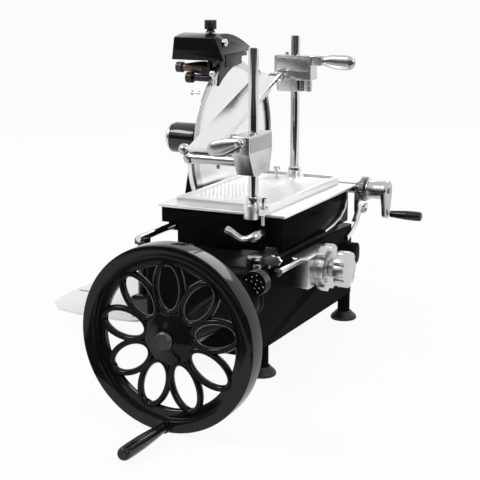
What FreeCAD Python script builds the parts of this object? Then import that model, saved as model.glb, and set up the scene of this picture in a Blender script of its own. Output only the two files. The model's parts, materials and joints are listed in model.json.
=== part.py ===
import FreeCAD, Part
import math
import os

# Hand crank meat slicer, all sizes in millimetres
# X runs from the slice side to the crank side, Y from the flywheel to the back, Z up from the ground
V = FreeCAD.Vector

# Running gaps
shaft_gap = 0.05
face_gap = 0.4
sliding_gap = 0.5

# Feet and legs
foot_spacing_x = 190.0
foot_spacing_y = 410.0
foot_radius = 28.0
foot_neck_radius = 17.0
foot_height = 18.0
leg_radius = 13.0
bolt_hole_radius = 4.0
bolt_hole_depth = 36.0

# Base casting
body_left = -115.0
body_width = 221.0
body_back = 224.0
body_length = 494.0
body_bottom = 56.0
body_top = 204.0
body_wall = 8.0
body_corner = 12.0
cover_thickness = 4.0

# Flywheel and its shaft
wheel_x = 84.0
wheel_z = 160.0
wheel_reach = 275.0
wheel_radius = 156.0
rim_depth = 36.0
rim_inner_radius = 135.0
web_inner_radius = 121.0
web_thickness = 14.0
web_recess = 10.0
hub_radius = 43.0
hub_disc_radius = 31.0
hub_boss_radius = 22.0
hub_proud = 3.0
hub_length = 43.0
petal_count = 9
petal_centre_radius = 83.5
petal_hole_length = 73.0
petal_hole_width = 37.5
petal_bar = 8.0
main_shaft_radius = 10.0
handle_radius = 144.0
grip_length = 124.0
grip_radius = 11.0
grip_bore = 4.5
grip_collar_length = 8.0

# Drive train
drive_ratio_radius_in = 30.0
lay_offset_x = 62.0
lay_drop = 10.0
gear_width = 14.0
lay_shaft_radius = 8.0
bevel_large = 24.0
bevel_small = 12.0
cross_y = 190.0
cross_shaft_radius = 8.0
sprocket_in_radius = 26.0
sprocket_out_radius = 19.0
sprocket_width = 6.0
chain_thickness = 5.0

# Front gear case and bearing neck
case_length = 54.0
case_radius = 42.0
case_wall = 5.0
neck_radius = 30.0
neck_flange_radius = 39.0
neck_flange_length = 8.0
hub_clearance = 3.0

# Blade
blade_x = -190.0
blade_y = 246.0
blade_z = 357.0
blade_radius = 178.0
blade_thickness = 3.5
blade_shaft_radius = 9.0
blade_seat_radius = 40.0

# Blade column and hub drum
column_right = -206.0
column_left = -258.0
column_bottom_radius = 56.0
column_top_radius = 50.0
column_wall = 6.0
drum_radius = 34.0
drum_left = -333.0
drum_cap_length = 20.0
bridge_front = 140.0
bridge_bottom = 78.0
bridge_top = 170.0

# Carriage
sheet_left = -178.0
sheet_overhang = 7.0
frame_inset = 16.0
sheet_front = -108.0
sheet_back = 262.0
sheet_bottom = 276.0
sheet_thickness = 5.0
frame_left = -170.0
frame_front = -105.0
frame_back = 232.0
frame_deep_bottom = 208.0
frame_shallow_bottom = 246.0
frame_wall = 8.0

# Rails and rollers
rail_x = -155.0
rail_z = 236.0
rail_radius = 7.0
rail_front = -222.0
rail_back = 308.0
rail_post_y = -206.0
outrigger_bottom = 82.0
outrigger_top = 126.0
rear_bracket_width = 22.0
rear_bracket_bottom = 172.0
bush_length = 30.0
bush_front_y = -80.0
bush_back_y = 60.0
track_left = 58.0
track_right = 76.0
track_height = 10.0
track_front = -194.0
roller_radius = 15.0
roller_width = 14.0
roller_places = (-60.0, 50.0)
roller_pin_radius = 4.0

# Meat table
table_left = -140.0
table_right = 61.0
table_front = -106.0
table_back = 256.0
table_height = 16.0
table_rim = 9.0
table_recess = 6.0
spike_height = 13.0
spike_radius = 1.6
spike_pitch = 17.0
spike_columns = 5
spike_rows = 8
post_radius = 9.5
post_top = 593.0
front_post_x = 30.3
front_post_y = -107.0
rear_post_x = -36.0
rear_post_y = 236.0
boss_radius = 17.0
boss_drop = 9.0
post_seat = 4.0
collar_radius = 13.5
collar_height = 16.0

# Clamps, levers and press
clamp_gap = 0.05
front_clamp_left = 12.0
front_clamp_right = 47.0
front_clamp_front = -160.0
front_clamp_back = -60.0
front_clamp_top = 434.0
front_clamp_step = 400.0
front_clamp_bottom = 358.0
front_clamp_foot_front = -139.0
front_clamp_foot_back = -72.0
front_lever_end = -18.0
front_lever_z = 408.5
front_lever_thickness = 13.0
front_pivot_x = 31.0
front_pivot_z = 422.0
rear_clamp_left = -77.0
rear_clamp_right = 6.0
rear_clamp_front = 219.0
rear_clamp_back = 253.0
rear_clamp_top = 551.0
rear_clamp_step = 516.0
rear_clamp_bottom = 476.0
rear_clamp_foot_left = -70.0
rear_clamp_foot_right = -24.5
rear_clamp_shoulder = 500.0
rear_lever_bottom = 524.0
rear_lever_top = 555.0
rear_lever_reach = 96.0
rear_lever_thickness = 16.0
rear_pivot_x = 19.0
rear_pivot_z = 541.0
fork_wall = 5.6
arm_radius = 10.5
arm_left = -102.0
arm_z = 378.0
ball_radius = 12.3
press_left = -105.0
press_width = 55.0
press_back = 200.0
press_back_z = 506.0
press_thickness = 6.0
press_pin_radius = 4.0
lug_left = -76.0
lug_right = -60.0

# Sharpener
cover_front = 155.0
cover_back = 302.0
cover_bottom = 539.0
cover_top = 588.0
cover_wall = 3.0
cover_left_bottom = -289.0
cover_left_top = -283.0
cover_right_bottom = -165.0
cover_right_top = -187.0
arm_post_left = -232.0
stone_places = ((200.0, 519.0, 12.0, -300.0), (185.0, 499.0, 11.0, -268.0))
stone_spindle_radius = 3.5
stone_knob_radius = 11.5
stone_knob_length = 14.0
stone_thickness = 7.0
stone_gap = 1.5
top_knob_x = -222.0
top_knob_y = 206.0

# Feed screw, ratchet and crank
feed_y = 276.0
feed_z = 270.0
feed_screw_radius = 6.0
feed_tube_radius = 11.0
feed_flange_radius = 17.0
feed_flange_step = 12.0
ratchet_radius = 26.0
ratchet_width = 9.0
ratchet_teeth = 26
ratchet_step = 4.0
crank_disc_radius = 22.0
crank_disc_width = 4.0
crank_hub_radius = 19.0
crank_hub_length = 34.0
crank_arm_radius = 21.0
crank_arm_thickness = 12.0
crank_throw = 49.0
pawl_offset_y = 4.0
pawl_drop = 44.0
crank_grip_length = 62.0
crank_grip_radius = 10.0

# Thickness adjuster
dial_y = -31.0
dial_z = 172.0
dial_block_depth = 36.0
dial_block_front = -100.0
dial_block_back = 30.0
dial_block_bottom = 142.0
dial_block_top = 202.0
dial_flange_radius = 46.0
dial_flange_thickness = 18.0
dial_knob_radius = 35.0
dial_knob_thickness = 22.0
dial_stem = 16.0
dial_lobes = 8

# Slice tray at the left
tray_left = -449.0
tray_right = -196.0
tray_front = -148.0
tray_back = 170.0
tray_top = 48.0
tray_thickness = 5.0
tray_corner = 40.0


# Release handle pivot
handle_pivot_x = 53.0
handle_pivot_z = 246.0
handle_pivot_radius = 6.0

# Two bowed strips on the right of the carriage, as paths of places along Y and Z
strip_path = ((262.0, 262.0), (263.0, 252.0), (260.0, 238.0), (253.0, 224.0), (242.0, 211.0), (226.0, 199.0),
              (204.0, 188.0), (182.0, 181.0))
slim_path = ((214.0, 275.0), (214.0, 258.0), (205.0, 240.0), (178.0, 225.0), (140.0, 216.0), (96.0, 211.5))
strip_half = 5.0
strip_width = 6.0

# Small column with a polished cap on the base top
oiler_x = 84.0
oiler_y = -214.0

# Worked out places
body_right = body_left + body_width
body_front = body_back - body_length
wheel_front = body_front - wheel_reach
frame_right = body_right - frame_inset
sheet_right = frame_right + sheet_overhang
lay_x = wheel_x - lay_offset_x
lay_z = wheel_z - lay_drop
gear_distance = math.hypot(lay_offset_x, lay_drop)
drive_ratio_radius_out = gear_distance - drive_ratio_radius_in
case_back = body_front - 6.0
case_front = case_back - case_length
wheel_back = wheel_front + rim_depth
hub_back = wheel_front - web_recess + hub_length + 4.0
neck_front = hub_back + hub_clearance
sheet_top = sheet_bottom + sheet_thickness
table_bottom = sheet_top + 0.1
table_top = table_bottom + table_height
table_floor = table_top - table_recess
sprocket_x = (column_left + column_right) / 2
column_cover_left = column_left - column_wall
handle_z = wheel_z - handle_radius
rest_z = arm_z + arm_radius + press_pin_radius
feed_flange_x = frame_right + feed_flange_step
ratchet_x = feed_flange_x + ratchet_step
crank_disc_x = ratchet_x + ratchet_width + ratchet_step
crank_hub_x = crank_disc_x + crank_disc_width
crank_arm_x = crank_hub_x + crank_hub_length - crank_disc_width
pawl_y = feed_y - pawl_offset_y
pawl_z = feed_z - pawl_drop


def box(x0, x1, y0, y1, z0, z1):
    return Part.makeBox(x1 - x0, y1 - y0, z1 - z0, V(x0, y0, z0))


def rod_x(x0, x1, y, z, r):
    return Part.makeCylinder(r, x1 - x0, V(x0, y, z), V(1, 0, 0))


def rod_y(y0, y1, x, z, r):
    return Part.makeCylinder(r, y1 - y0, V(x, y0, z), V(0, 1, 0))


def rod_z(z0, z1, x, y, r):
    return Part.makeCylinder(r, z1 - z0, V(x, y, z0), V(0, 0, 1))


def ball_x(x, y, z, r):
    return Part.makeSphere(r, V(x, y, z), V(1, 0, 0))


def cone_x(x0, x1, y, z, r0, r1):
    return Part.makeCone(r0, r1, x1 - x0, V(x0, y, z), V(1, 0, 0))


def cone_y(y0, y1, x, z, r0, r1):
    return Part.makeCone(r0, r1, y1 - y0, V(x, y0, z), V(0, 1, 0))


def cone_z(z0, z1, x, y, r0, r1):
    return Part.makeCone(r0, r1, z1 - z0, V(x, y, z0), V(0, 0, 1))


def prism(points, direction):
    loop = points + [points[0]]
    return Part.Face(Part.makePolygon(loop)).extrude(direction)


def round_edges(shape, radius, along):
    # Rounds the straight edges of a block that run along one direction
    edges = []
    for edge in shape.Edges:
        ends = edge.Vertexes
        if len(ends) == 2:
            run = ends[1].Point - ends[0].Point
            if run.Length > 1 and abs(run.dot(along)) / run.Length > 0.999:
                edges.append(edge)
    return shape.makeFillet(radius, edges)


def hull_outline(a, ra, b, rb):
    # Outline of two circles in one plane with their outer tangents, as (first, second) pairs
    run = (b[0] - a[0], b[1] - a[1])
    distance = math.hypot(run[0], run[1])
    heading = math.atan2(run[1], run[0])
    tilt = math.acos((ra - rb) / distance)
    def on(circle, r, angle):
        return (circle[0] + r * math.cos(angle), circle[1] + r * math.sin(angle))
    upper, lower = heading + tilt, heading - tilt
    return (on(a, ra, upper), on(a, ra, heading + math.pi), on(a, ra, lower),
            on(b, rb, lower), on(b, rb, heading), on(b, rb, upper))


def hull_solid(a, ra, b, rb, place, direction):
    # Solid between two circles and their tangents; place turns a pair into a point in space
    p = [place(q) for q in hull_outline(a, ra, b, rb)]
    edges = [Part.Arc(p[0], p[1], p[2]).toShape(), Part.makeLine(p[2], p[3]),
             Part.Arc(p[3], p[4], p[5]).toShape(), Part.makeLine(p[5], p[0])]
    return Part.Face(Part.Wire(edges)).extrude(direction)


def hull_x(a, ra, b, rb, x0, x1):
    return hull_solid(a, ra, b, rb, lambda q: V(x0, q[0], q[1]), V(x1 - x0, 0, 0))


def hull_y(a, ra, b, rb, y0, y1):
    return hull_solid(a, ra, b, rb, lambda q: V(q[0], y0, q[1]), V(0, y1 - y0, 0))


def toothed_wheel(blank, axis_point, axis, outer, count):
    # Cuts shallow tooth spaces inward from the rim of a wheel
    space = math.pi * outer / count
    side = V(0, 1, 0) if abs(axis.x) > 0.5 else V(1, 0, 0)
    length = 400.0
    cutter = Part.makeCylinder(space * 0.5, length, axis_point + side * outer - axis * (length / 2), axis)
    for i in range(count):
        turned = cutter.copy()
        turned.rotate(axis_point, axis, 360.0 * i / count)
        blank = blank.cut(turned)
    return blank


def save(name, shape):
    shape.exportStep("parts/" + name + ".step")
    print(name, len(shape.Solids), round(shape.Volume), shape.isValid())


def group(shapes):
    return Part.makeCompound(shapes)


def foot_places():
    return [(sx * foot_spacing_x / 2, sy * foot_spacing_y / 2) for sx in (-1, 1) for sy in (-1, 1)]


# Rubber feet and legs
def rubber_foot(x, y):
    rim = rod_z(0, 4, x, y, foot_radius)
    bell = cone_z(4, foot_height, x, y, foot_radius - 1.5, foot_neck_radius)
    return rim.fuse(bell).cut(rod_z(-1, foot_height + 1, x, y, bolt_hole_radius)).removeSplitter()


def leg(x, y):
    # Leg with the square corner block that joins it to the side wall
    post = rod_z(foot_height, body_bottom, x, y, leg_radius)
    wall = body_left + 1 if x < 0 else body_right - 1
    block = box(min(x, wall) - leg_radius * (x > 0), max(x, wall) + leg_radius * (x < 0),
                y - leg_radius, y + leg_radius, body_bottom, body_bottom + 34)
    return post.fuse(block).cut(rod_z(foot_height - 1, bolt_hole_depth, x, y, bolt_hole_radius))


# Base casting, its cover and what is cast on it
def base_casting():
    outer = box(body_left, body_right, body_front, body_back, body_bottom, body_top)
    outer = round_edges(outer, body_corner, V(0, 0, 1))
    inner = box(body_left + body_wall, body_right - body_wall, body_front + body_wall, body_back - body_wall,
                body_bottom - 1, body_top - body_wall)
    shell = outer.cut(inner)
    shell = shell.fuse([leg(x, y) for x, y in foot_places()])
    shell = shell.fuse(hull_y((wheel_x, wheel_z), case_radius, (lay_x, lay_z), case_radius,
                              case_back, body_front + body_wall))
    shell = shell.fuse([rod_z(body_top, body_top + 16, oiler_x, oiler_y, 8),
                        rod_z(body_top, body_top + 4, oiler_x, oiler_y, 13), cam_lug()])
    bulkhead_y = 110.0
    bulkhead = box(lay_x - 24, lay_x + 24, bulkhead_y, bulkhead_y + 12, lay_z - 24, body_top - body_wall)
    shell = shell.fuse(bulkhead)
    shell = shell.cut(rod_y(case_back - 1, bulkhead_y + 13, lay_x, lay_z, lay_shaft_radius + shaft_gap))
    shell = shell.cut(rod_y(case_back - 1, body_front + body_wall + 1, wheel_x, wheel_z,
                            main_shaft_radius + shaft_gap))
    shell = shell.cut(rod_x(body_left - 1, body_left + body_wall + 1, cross_y, lay_z,
                            cross_shaft_radius + shaft_gap))
    return shell.removeSplitter()


def base_cover():
    # Plate under the base, notched round the legs
    plate = box(body_left + 3, body_right - 3, body_front + 3, body_back - 3,
                body_bottom - cover_thickness, body_bottom)
    for x, y in foot_places():
        plate = plate.cut(rod_z(0, body_bottom + 1, x, y, leg_radius + face_gap))
    return plate


def gear_case():
    main = (wheel_x, wheel_z)
    lay = (lay_x, lay_z)
    outer = hull_y(main, case_radius, lay, case_radius, case_front, case_back)
    inner = hull_y(main, case_radius - case_wall, lay, case_radius - case_wall,
                   case_front + case_wall, case_back + 1)
    case = outer.cut(inner)
    case = case.fuse(bearing_neck())
    case = case.cut(rod_y(neck_front - 1, case_front + case_wall + 1, wheel_x, wheel_z,
                          main_shaft_radius + shaft_gap))
    boss = rod_y(case_front + case_wall - 1, case_front + case_wall + 6, lay_x, lay_z, lay_shaft_radius + 6)
    case = case.fuse(boss)
    return case.cut(rod_y(case_front + 2, case_front + case_wall + 7, lay_x, lay_z,
                          lay_shaft_radius + shaft_gap)).removeSplitter()


def bearing_neck():
    tube = rod_y(neck_front, case_front, wheel_x, wheel_z, neck_radius)
    flange = rod_y(case_front - neck_flange_length, case_front, wheel_x, wheel_z, neck_flange_radius)
    nose = rod_y(neck_front, neck_front + neck_flange_length, wheel_x, wheel_z, neck_radius + 5)
    neck = tube.fuse([flange, nose])
    bore = rod_y(neck_front - 1, case_front + 1, wheel_x, wheel_z, main_shaft_radius + shaft_gap)
    return neck.cut(bore).removeSplitter()


# Left rail with its posts, and the right track
def rail_front_post():
    x0, x1 = rail_x - 18, body_left
    outrigger = box(x0, x1, rail_post_y - 20, rail_post_y + 20, outrigger_bottom, outrigger_top)
    outrigger = round_edges(outrigger, 10, V(0, 1, 0))
    post = rod_z(outrigger_top - 6, rail_z, rail_x, rail_post_y, 10)
    saddle = box(rail_x - 11, rail_x + 11, rail_post_y - 11, rail_post_y + 11, rail_z - 12, rail_z)
    bracket = outrigger.fuse([post, saddle])
    return bracket.cut(rod_y(rail_front - 1, rail_back, rail_x, rail_z, rail_radius)).removeSplitter()


def rail_rear_bracket():
    end = rail_back - 2
    arm = box(body_left, body_left + rear_bracket_width, body_back, end, rear_bracket_bottom, body_top - 4)
    reach = box(rail_x - 14, body_left + rear_bracket_width, end - 18, end, rear_bracket_bottom, rail_z)
    bracket = arm.fuse(reach)
    return bracket.cut(rod_y(rail_front, rail_back + 1, rail_x, rail_z, rail_radius)).removeSplitter()


def guide_rail():
    rail = rod_y(rail_front, rail_back, rail_x, rail_z, rail_radius)
    return rail.makeChamfer(1.5, [rail.Edges[0], rail.Edges[2]])


def roller_track():
    return box(track_left, track_right, track_front, body_back - 6, body_top, body_top + track_height)


def oiler_cap():
    return rod_z(body_top + 16, body_top + 23, oiler_x, oiler_y, 13)


# Blade column, hub drum and guards
def column_bridge():
    block = box(column_right, body_left, bridge_front, body_back - 10, bridge_bottom, bridge_top)
    hollow = box(column_right + 8, body_left - 8, bridge_front + 8, body_back - 18, bridge_bottom - 1,
                 lay_z - cross_shaft_radius - 8)
    block = block.cut(hollow)
    return block


def blade_column():
    low = (cross_y, lay_z)
    high = (blade_y, blade_z)
    outer = hull_x(low, column_bottom_radius, high, column_top_radius, column_left, column_right)
    wall = column_wall
    inner = hull_x(low, column_bottom_radius - wall, high, column_top_radius - wall,
                   column_left - 1, column_right - wall)
    case = outer.cut(inner).fuse(column_bridge())
    case = case.cut(rod_x(column_right - wall - 1, body_left + 1, cross_y, lay_z,
                          cross_shaft_radius + shaft_gap))
    case = case.cut(rod_x(column_right - wall - 1, column_right + 1, blade_y, blade_z,
                          blade_shaft_radius + shaft_gap))
    return case.removeSplitter()


def column_cover():
    low = (cross_y, lay_z)
    high = (blade_y, blade_z)
    plate = hull_x(low, column_bottom_radius, high, column_top_radius, column_cover_left, column_left)
    plate = plate.cut(rod_x(column_left - 4, column_left + 1, cross_y, lay_z, cross_shaft_radius + shaft_gap))
    return plate.cut(rod_x(column_cover_left - 1, column_left + 1, blade_y, blade_z,
                           blade_shaft_radius + shaft_gap))


def hub_drum():
    drum = rod_x(drum_left, column_cover_left, blade_y, blade_z, drum_radius)
    return drum.cut(rod_x(drum_left + 12, column_cover_left + 1, blade_y, blade_z,
                          blade_shaft_radius + shaft_gap))


def hub_cap():
    ring = rod_x(drum_left - 6, drum_left, blade_y, blade_z, drum_radius)
    dome = cone_x(drum_left - drum_cap_length, drum_left - 6, blade_y, blade_z,
                  drum_radius * 0.5, drum_radius)
    return ring.fuse(dome).removeSplitter()


def ring_sector(x0, x1, inner, outer, start, stop):
    # Part of a ring about the blade axis; angles from the back, rising
    ring = rod_x(x0, x1, blade_y, blade_z, outer).cut(rod_x(x0 - 1, x1 + 1, blade_y, blade_z, inner))
    reach = outer * 3
    steps = 4
    points = [V(x0 - 1, blade_y, blade_z)]
    for i in range(steps + 1):
        angle = math.radians(start + (stop - start) * i / steps)
        points.append(V(x0 - 1, blade_y + reach * math.cos(angle), blade_z + reach * math.sin(angle)))
    return ring.common(prism(points, V(x1 - x0 + 2, 0, 0)))


guard_gap = 5.0
guard_depth = 13.0
guard_behind = 8.0
guard_ahead = 3.0


def blade_guard():
    guard = ring_sector(blade_x - guard_behind, blade_x + guard_ahead, blade_radius + guard_gap,
                        blade_radius + guard_gap + guard_depth, -75, 48)
    reach = blade_y + blade_radius + guard_gap + 9
    stay = box(column_right, column_right + 7, blade_y + blade_seat_radius + 3, reach,
               blade_z - 12, blade_z + 12)
    foot = box(column_right, blade_x - 5, reach - 7, reach, blade_z - 12, blade_z + 12)
    return guard.fuse([stay, foot]).removeSplitter()


def edge_guard():
    # Curved strip that follows the front edge of the blade down to the table
    strip = ring_sector(column_right, blade_x - 6, blade_radius - 12, blade_radius + 3, 186, 214)
    angle = math.radians(200)
    y = blade_y + blade_radius * math.cos(angle)
    z = blade_z + blade_radius * math.sin(angle)
    stay = box(column_right, column_right + 6, y, blade_y - 46, z - 10, z + 10)
    return strip.fuse(stay).removeSplitter()


# Slice tray at the left of the base
def slice_tray():
    plate = box(tray_left, tray_right, tray_front, tray_back, tray_top - tray_thickness, tray_top)
    plate = round_edges(plate, tray_corner, V(0, 0, 1))
    slot = box(tray_left + 12, tray_left + 40, -4, 2, tray_top - tray_thickness - 1, tray_top + 1)
    return plate.cut(slot)


def tray_bars():
    bars = []
    for y in (-60.0, 100.0):
        bars.append(box(tray_right - 90, body_left + 40, y, y + 22, tray_top, body_bottom - cover_thickness))
    return group(bars)


# Flywheel
def petal(angle, length, width, y0, y1):
    ellipse = Part.Ellipse(V(petal_centre_radius, 0, 0), length / 2, width / 2)
    face = Part.Face(Part.Wire([ellipse.toShape()]))
    solid = face.extrude(V(0, 0, y1 - y0))
    solid.rotate(V(0, 0, 0), V(0, 0, 1), angle)
    solid.rotate(V(0, 0, 0), V(1, 0, 0), 90)
    solid.translate(V(wheel_x, y1, wheel_z))
    return solid


def flywheel():
    front = wheel_front
    rim = rod_y(front, wheel_back, wheel_x, wheel_z, wheel_radius)
    rim = rim.cut(rod_y(front - 1, wheel_back + 1, wheel_x, wheel_z, rim_inner_radius))
    web_front = front + web_recess
    web_back = web_front + web_thickness
    web = rod_y(web_front, web_back, wheel_x, wheel_z, rim_inner_radius + 1)
    web = web.cut(rod_y(web_front - 1, web_back + 1, wheel_x, wheel_z, web_inner_radius))
    hub = rod_y(web_front + 1, web_back - 1, wheel_x, wheel_z, hub_radius)
    disc = rod_y(web_front - 4, web_back + 3, wheel_x, wheel_z, hub_disc_radius)
    boss = rod_y(front - hub_proud, hub_back, wheel_x, wheel_z, hub_boss_radius)
    step = 360.0 / petal_count
    wheel = rim.fuse([web, hub, disc, boss])
    for i in range(petal_count):
        outer = petal(90 + step * i, petal_hole_length + 2 * petal_bar, petal_hole_width + 2 * petal_bar,
                      web_front, web_back)
        wheel = wheel.fuse(outer)
    for i in range(petal_count):
        wheel = wheel.cut(petal(90 + step * i, petal_hole_length, petal_hole_width,
                                web_front - 5, web_back + 5))
    wheel = wheel.cut(rod_y(front - 60, hub_back + 1, wheel_x, wheel_z, main_shaft_radius))
    return wheel.cut(rod_y(front - 1, front + 14, wheel_x, handle_z, grip_bore))


def main_shaft():
    start = wheel_front - hub_proud - 1
    shaft = rod_y(start, body_front + body_wall - 1, wheel_x, wheel_z, main_shaft_radius)
    nut = cone_y(start - 6, start + 1, wheel_x, wheel_z, 12, 15)
    gear = spur_gear(wheel_x, wheel_z, drive_ratio_radius_in, 20)
    return shaft.fuse([nut, gear])


def handle_spindle():
    end = wheel_front - grip_collar_length - grip_length - 2 * face_gap
    pin = rod_y(end, wheel_front + 14, wheel_x, handle_z, grip_bore)
    collar = rod_y(wheel_front - grip_collar_length, wheel_front, wheel_x, handle_z, grip_radius)
    cap = rod_y(end - 4, end, wheel_x, handle_z, grip_radius - 3)
    return pin.fuse([collar, cap]).removeSplitter()


def grip_y(y_thick, y_thin, x, z, bore, thick):
    # Turned grip with a fuller outer half and a waist by the collar
    run = y_thin - y_thick
    full = cone_y(y_thick, y_thick + run * 0.45, x, z, thick * 0.92, thick)
    waist = cone_y(y_thick + run * 0.45, y_thin, x, z, thick, thick * 0.72)
    return full.fuse(waist).cut(rod_y(y_thick - 1, y_thin + 1, x, z, bore + shaft_gap)).removeSplitter()


def flywheel_grip():
    near = wheel_front - grip_collar_length - face_gap
    return grip_y(near - grip_length, near, wheel_x, handle_z, grip_bore, grip_radius)


# Gears and shafts inside
def spur_gear(x, z, radius, teeth):
    y0 = case_front + 22
    blank = rod_y(y0, y0 + gear_width, x, z, radius - 0.2)
    return toothed_wheel(blank, V(x, y0, z), V(0, 1, 0), radius - 0.2, teeth)


def lay_shaft():
    # Second shaft with its spur gear and bevel wheel
    gear = spur_gear(lay_x, lay_z, drive_ratio_radius_out, 22)
    cone = cone_y(cross_y - bevel_large, cross_y - bevel_small, lay_x, lay_z,
                  bevel_large - 0.4, bevel_small - 0.4)
    shaft = rod_y(case_front + 3, cross_y - bevel_small - 1, lay_x, lay_z, lay_shaft_radius)
    return shaft.fuse([cone, gear])


def cross_shaft():
    # Shaft across to the column with its bevel wheel and sprocket
    cone = cone_x(lay_x - bevel_large, lay_x - bevel_small, cross_y, lay_z,
                  bevel_large - 0.4, bevel_small - 0.4)
    shaft = rod_x(column_left - 3, lay_x - bevel_small - 1, cross_y, lay_z, cross_shaft_radius)
    return shaft.fuse([cone, sprocket(cross_y, lay_z, sprocket_in_radius, 20)])


def sprocket(y, z, radius, teeth):
    x0 = sprocket_x - sprocket_width / 2
    blank = rod_x(x0, x0 + sprocket_width, y, z, radius)
    return toothed_wheel(blank, V(x0, y, z), V(1, 0, 0), radius, teeth)


def drive_chain():
    low = (cross_y, lay_z)
    high = (blade_y, blade_z)
    x0 = sprocket_x - sprocket_width / 2
    x1 = sprocket_x + sprocket_width / 2
    inside = sliding_gap
    outside = sliding_gap + chain_thickness
    band = hull_x(low, sprocket_in_radius + outside, high, sprocket_out_radius + outside, x0, x1)
    return band.cut(hull_x(low, sprocket_in_radius + inside, high, sprocket_out_radius + inside,
                           x0 - 1, x1 + 1))


# Blade and its shaft
def blade():
    half = blade_thickness / 2
    disc = rod_x(blade_x - half, blade_x + half, blade_y, blade_z, blade_radius)
    bevel = Part.makeCone(blade_radius - 18, blade_radius, half + 0.6,
                          V(blade_x + half + 0.1, blade_y, blade_z), V(-1, 0, 0))
    core = rod_x(blade_x - half, blade_x + half, blade_y, blade_z, blade_radius - 17)
    face = rod_x(blade_x - half, blade_x - 0.5, blade_y, blade_z, blade_radius)
    disc = disc.common(core.fuse([bevel, face]))
    return disc.cut(rod_x(blade_x - half - 1, blade_x + half + 1, blade_y, blade_z, blade_shaft_radius))


def blade_shaft():
    shaft = rod_x(drum_left + 14, blade_x + blade_thickness / 2 + 2, blade_y, blade_z, blade_shaft_radius)
    seat = rod_x(column_right + 1, blade_x - blade_thickness / 2, blade_y, blade_z, blade_seat_radius)
    nut = rod_x(blade_x + blade_thickness / 2, blade_x + blade_thickness / 2 + 4, blade_y, blade_z, 16)
    return shaft.fuse([seat, nut, sprocket(blade_y, blade_z, sprocket_out_radius, 15)])


# Carriage
def carriage_frame():
    top = box(frame_left, frame_right, frame_front, frame_back, sheet_bottom - frame_wall, sheet_bottom)
    left = box(frame_left, frame_left + frame_wall, frame_front, frame_back,
               frame_shallow_bottom, sheet_bottom)
    right = box(frame_right - frame_wall, frame_right, frame_front, frame_back,
                frame_deep_bottom, sheet_bottom)
    front_left = box(frame_left, frame_right, frame_front, frame_front + frame_wall,
                     frame_shallow_bottom, sheet_bottom)
    front_deep = box(rail_x + 20, frame_right, frame_front, frame_front + frame_wall,
                     frame_deep_bottom, sheet_bottom)
    notch = box(track_left - 6, frame_right - frame_wall - 1, frame_front - 1, frame_front + frame_wall + 1,
                frame_deep_bottom - 1, body_top + track_height + 4)
    frame = top.fuse([left, right, front_left, front_deep.cut(notch)])
    bushes = []
    for y in (bush_front_y, bush_back_y):
        block = box(frame_left + 1, rail_x + 13, y, y + bush_length, rail_z - 11, sheet_bottom - 4)
        bushes.append(block)
    frame = frame.fuse(bushes + [roller_pin(y) for y in roller_places])
    frame = frame.cut(rod_y(frame_front - 1, frame_front + frame_wall + 1, handle_pivot_x, handle_pivot_z,
                            handle_pivot_radius + shaft_gap))
    frame = frame.cut(rod_y(frame_front - 1, frame_back + 1, rail_x, rail_z, rail_radius + shaft_gap))
    return frame.removeSplitter()


def roller_z():
    return body_top + track_height + roller_radius + 0.2


def roller_pin(y):
    pin = rod_x(track_left - 1, frame_right - frame_wall + 4, y, roller_z(), roller_pin_radius)
    head = rod_x(track_left - 4, track_left - 1, y, roller_z(), roller_pin_radius + 3)
    return pin.fuse(head).removeSplitter()


def carriage_roller(y):
    middle = (track_left + track_right) / 2
    disc = rod_x(middle - roller_width / 2, middle + roller_width / 2, y, roller_z(), roller_radius)
    return disc.cut(rod_x(track_left - 5, track_right + 5, y, roller_z(), roller_pin_radius + shaft_gap))


def carriage_sheet():
    sheet = box(sheet_left, sheet_right, sheet_front, sheet_back, sheet_bottom, sheet_top)
    return round_edges(sheet, 5, V(0, 0, 1))


# Meat table with spikes, posts and collars
def meat_table():
    tray = box(table_left, table_right, table_front, table_back, table_bottom, table_top)
    tray = round_edges(tray, 6, V(0, 0, 1))
    recess = box(table_left + table_rim, table_right - table_rim, table_front + table_rim * 2,
                 table_back - table_rim, table_floor, table_top + 1)
    recess = round_edges(recess, 4, V(0, 0, 1))
    tray = tray.cut(recess)
    front_boss = rod_z(table_bottom - boss_drop, table_top, front_post_x, front_post_y - 3, boss_radius)
    under = box(front_post_x - 40, front_post_x + 40, sheet_front - sliding_gap, sheet_front + 60,
                table_bottom - boss_drop - 1, table_bottom)
    rear_boss = rod_z(table_bottom, table_top, rear_post_x, rear_post_y, boss_radius)
    tray = tray.fuse([front_boss.cut(under), rear_boss])
    for x, y in ((front_post_x, front_post_y), (rear_post_x, rear_post_y)):
        tray = tray.cut(rod_z(table_bottom + post_seat, table_top + 1, x, y, post_radius))
    spikes = []
    for column in range(spike_columns):
        for row in range(spike_rows):
            x = table_left + 28 + spike_pitch * column
            y = table_front + 60 + spike_pitch * row
            spikes.append(cone_z(table_floor - 2, table_floor + spike_height, x, y, spike_radius, 0.4))
    return tray.fuse(spikes)


def meat_post(x, y):
    post = rod_z(table_bottom + post_seat, post_top, x, y, post_radius)
    return post.makeChamfer(1.0, [post.Edges[0]])


def post_collar(x, y):
    ring = rod_z(table_top, table_top + collar_height, x, y, collar_radius)
    return ring.cut(rod_z(table_top - 1, table_top + collar_height + 1, x, y, post_radius))


def stop_pin(x, y, z0):
    stem = rod_z(z0, table_top + 9, x, y, 3.5)
    head = rod_z(table_top + 9, table_top + 16, x, y, 7)
    return stem.fuse(head).removeSplitter()


def stop_pins():
    front = stop_pin(table_right - 6, sheet_front - 7.5, table_bottom - 20)
    ear = box(table_right - 12, table_right + 2, sheet_front - 14, table_front,
              table_bottom, table_top - 4)
    rear = stop_pin(rear_post_x - 36, rear_post_y - 12, table_floor)
    return group([front.fuse(ear), rear])


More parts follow.
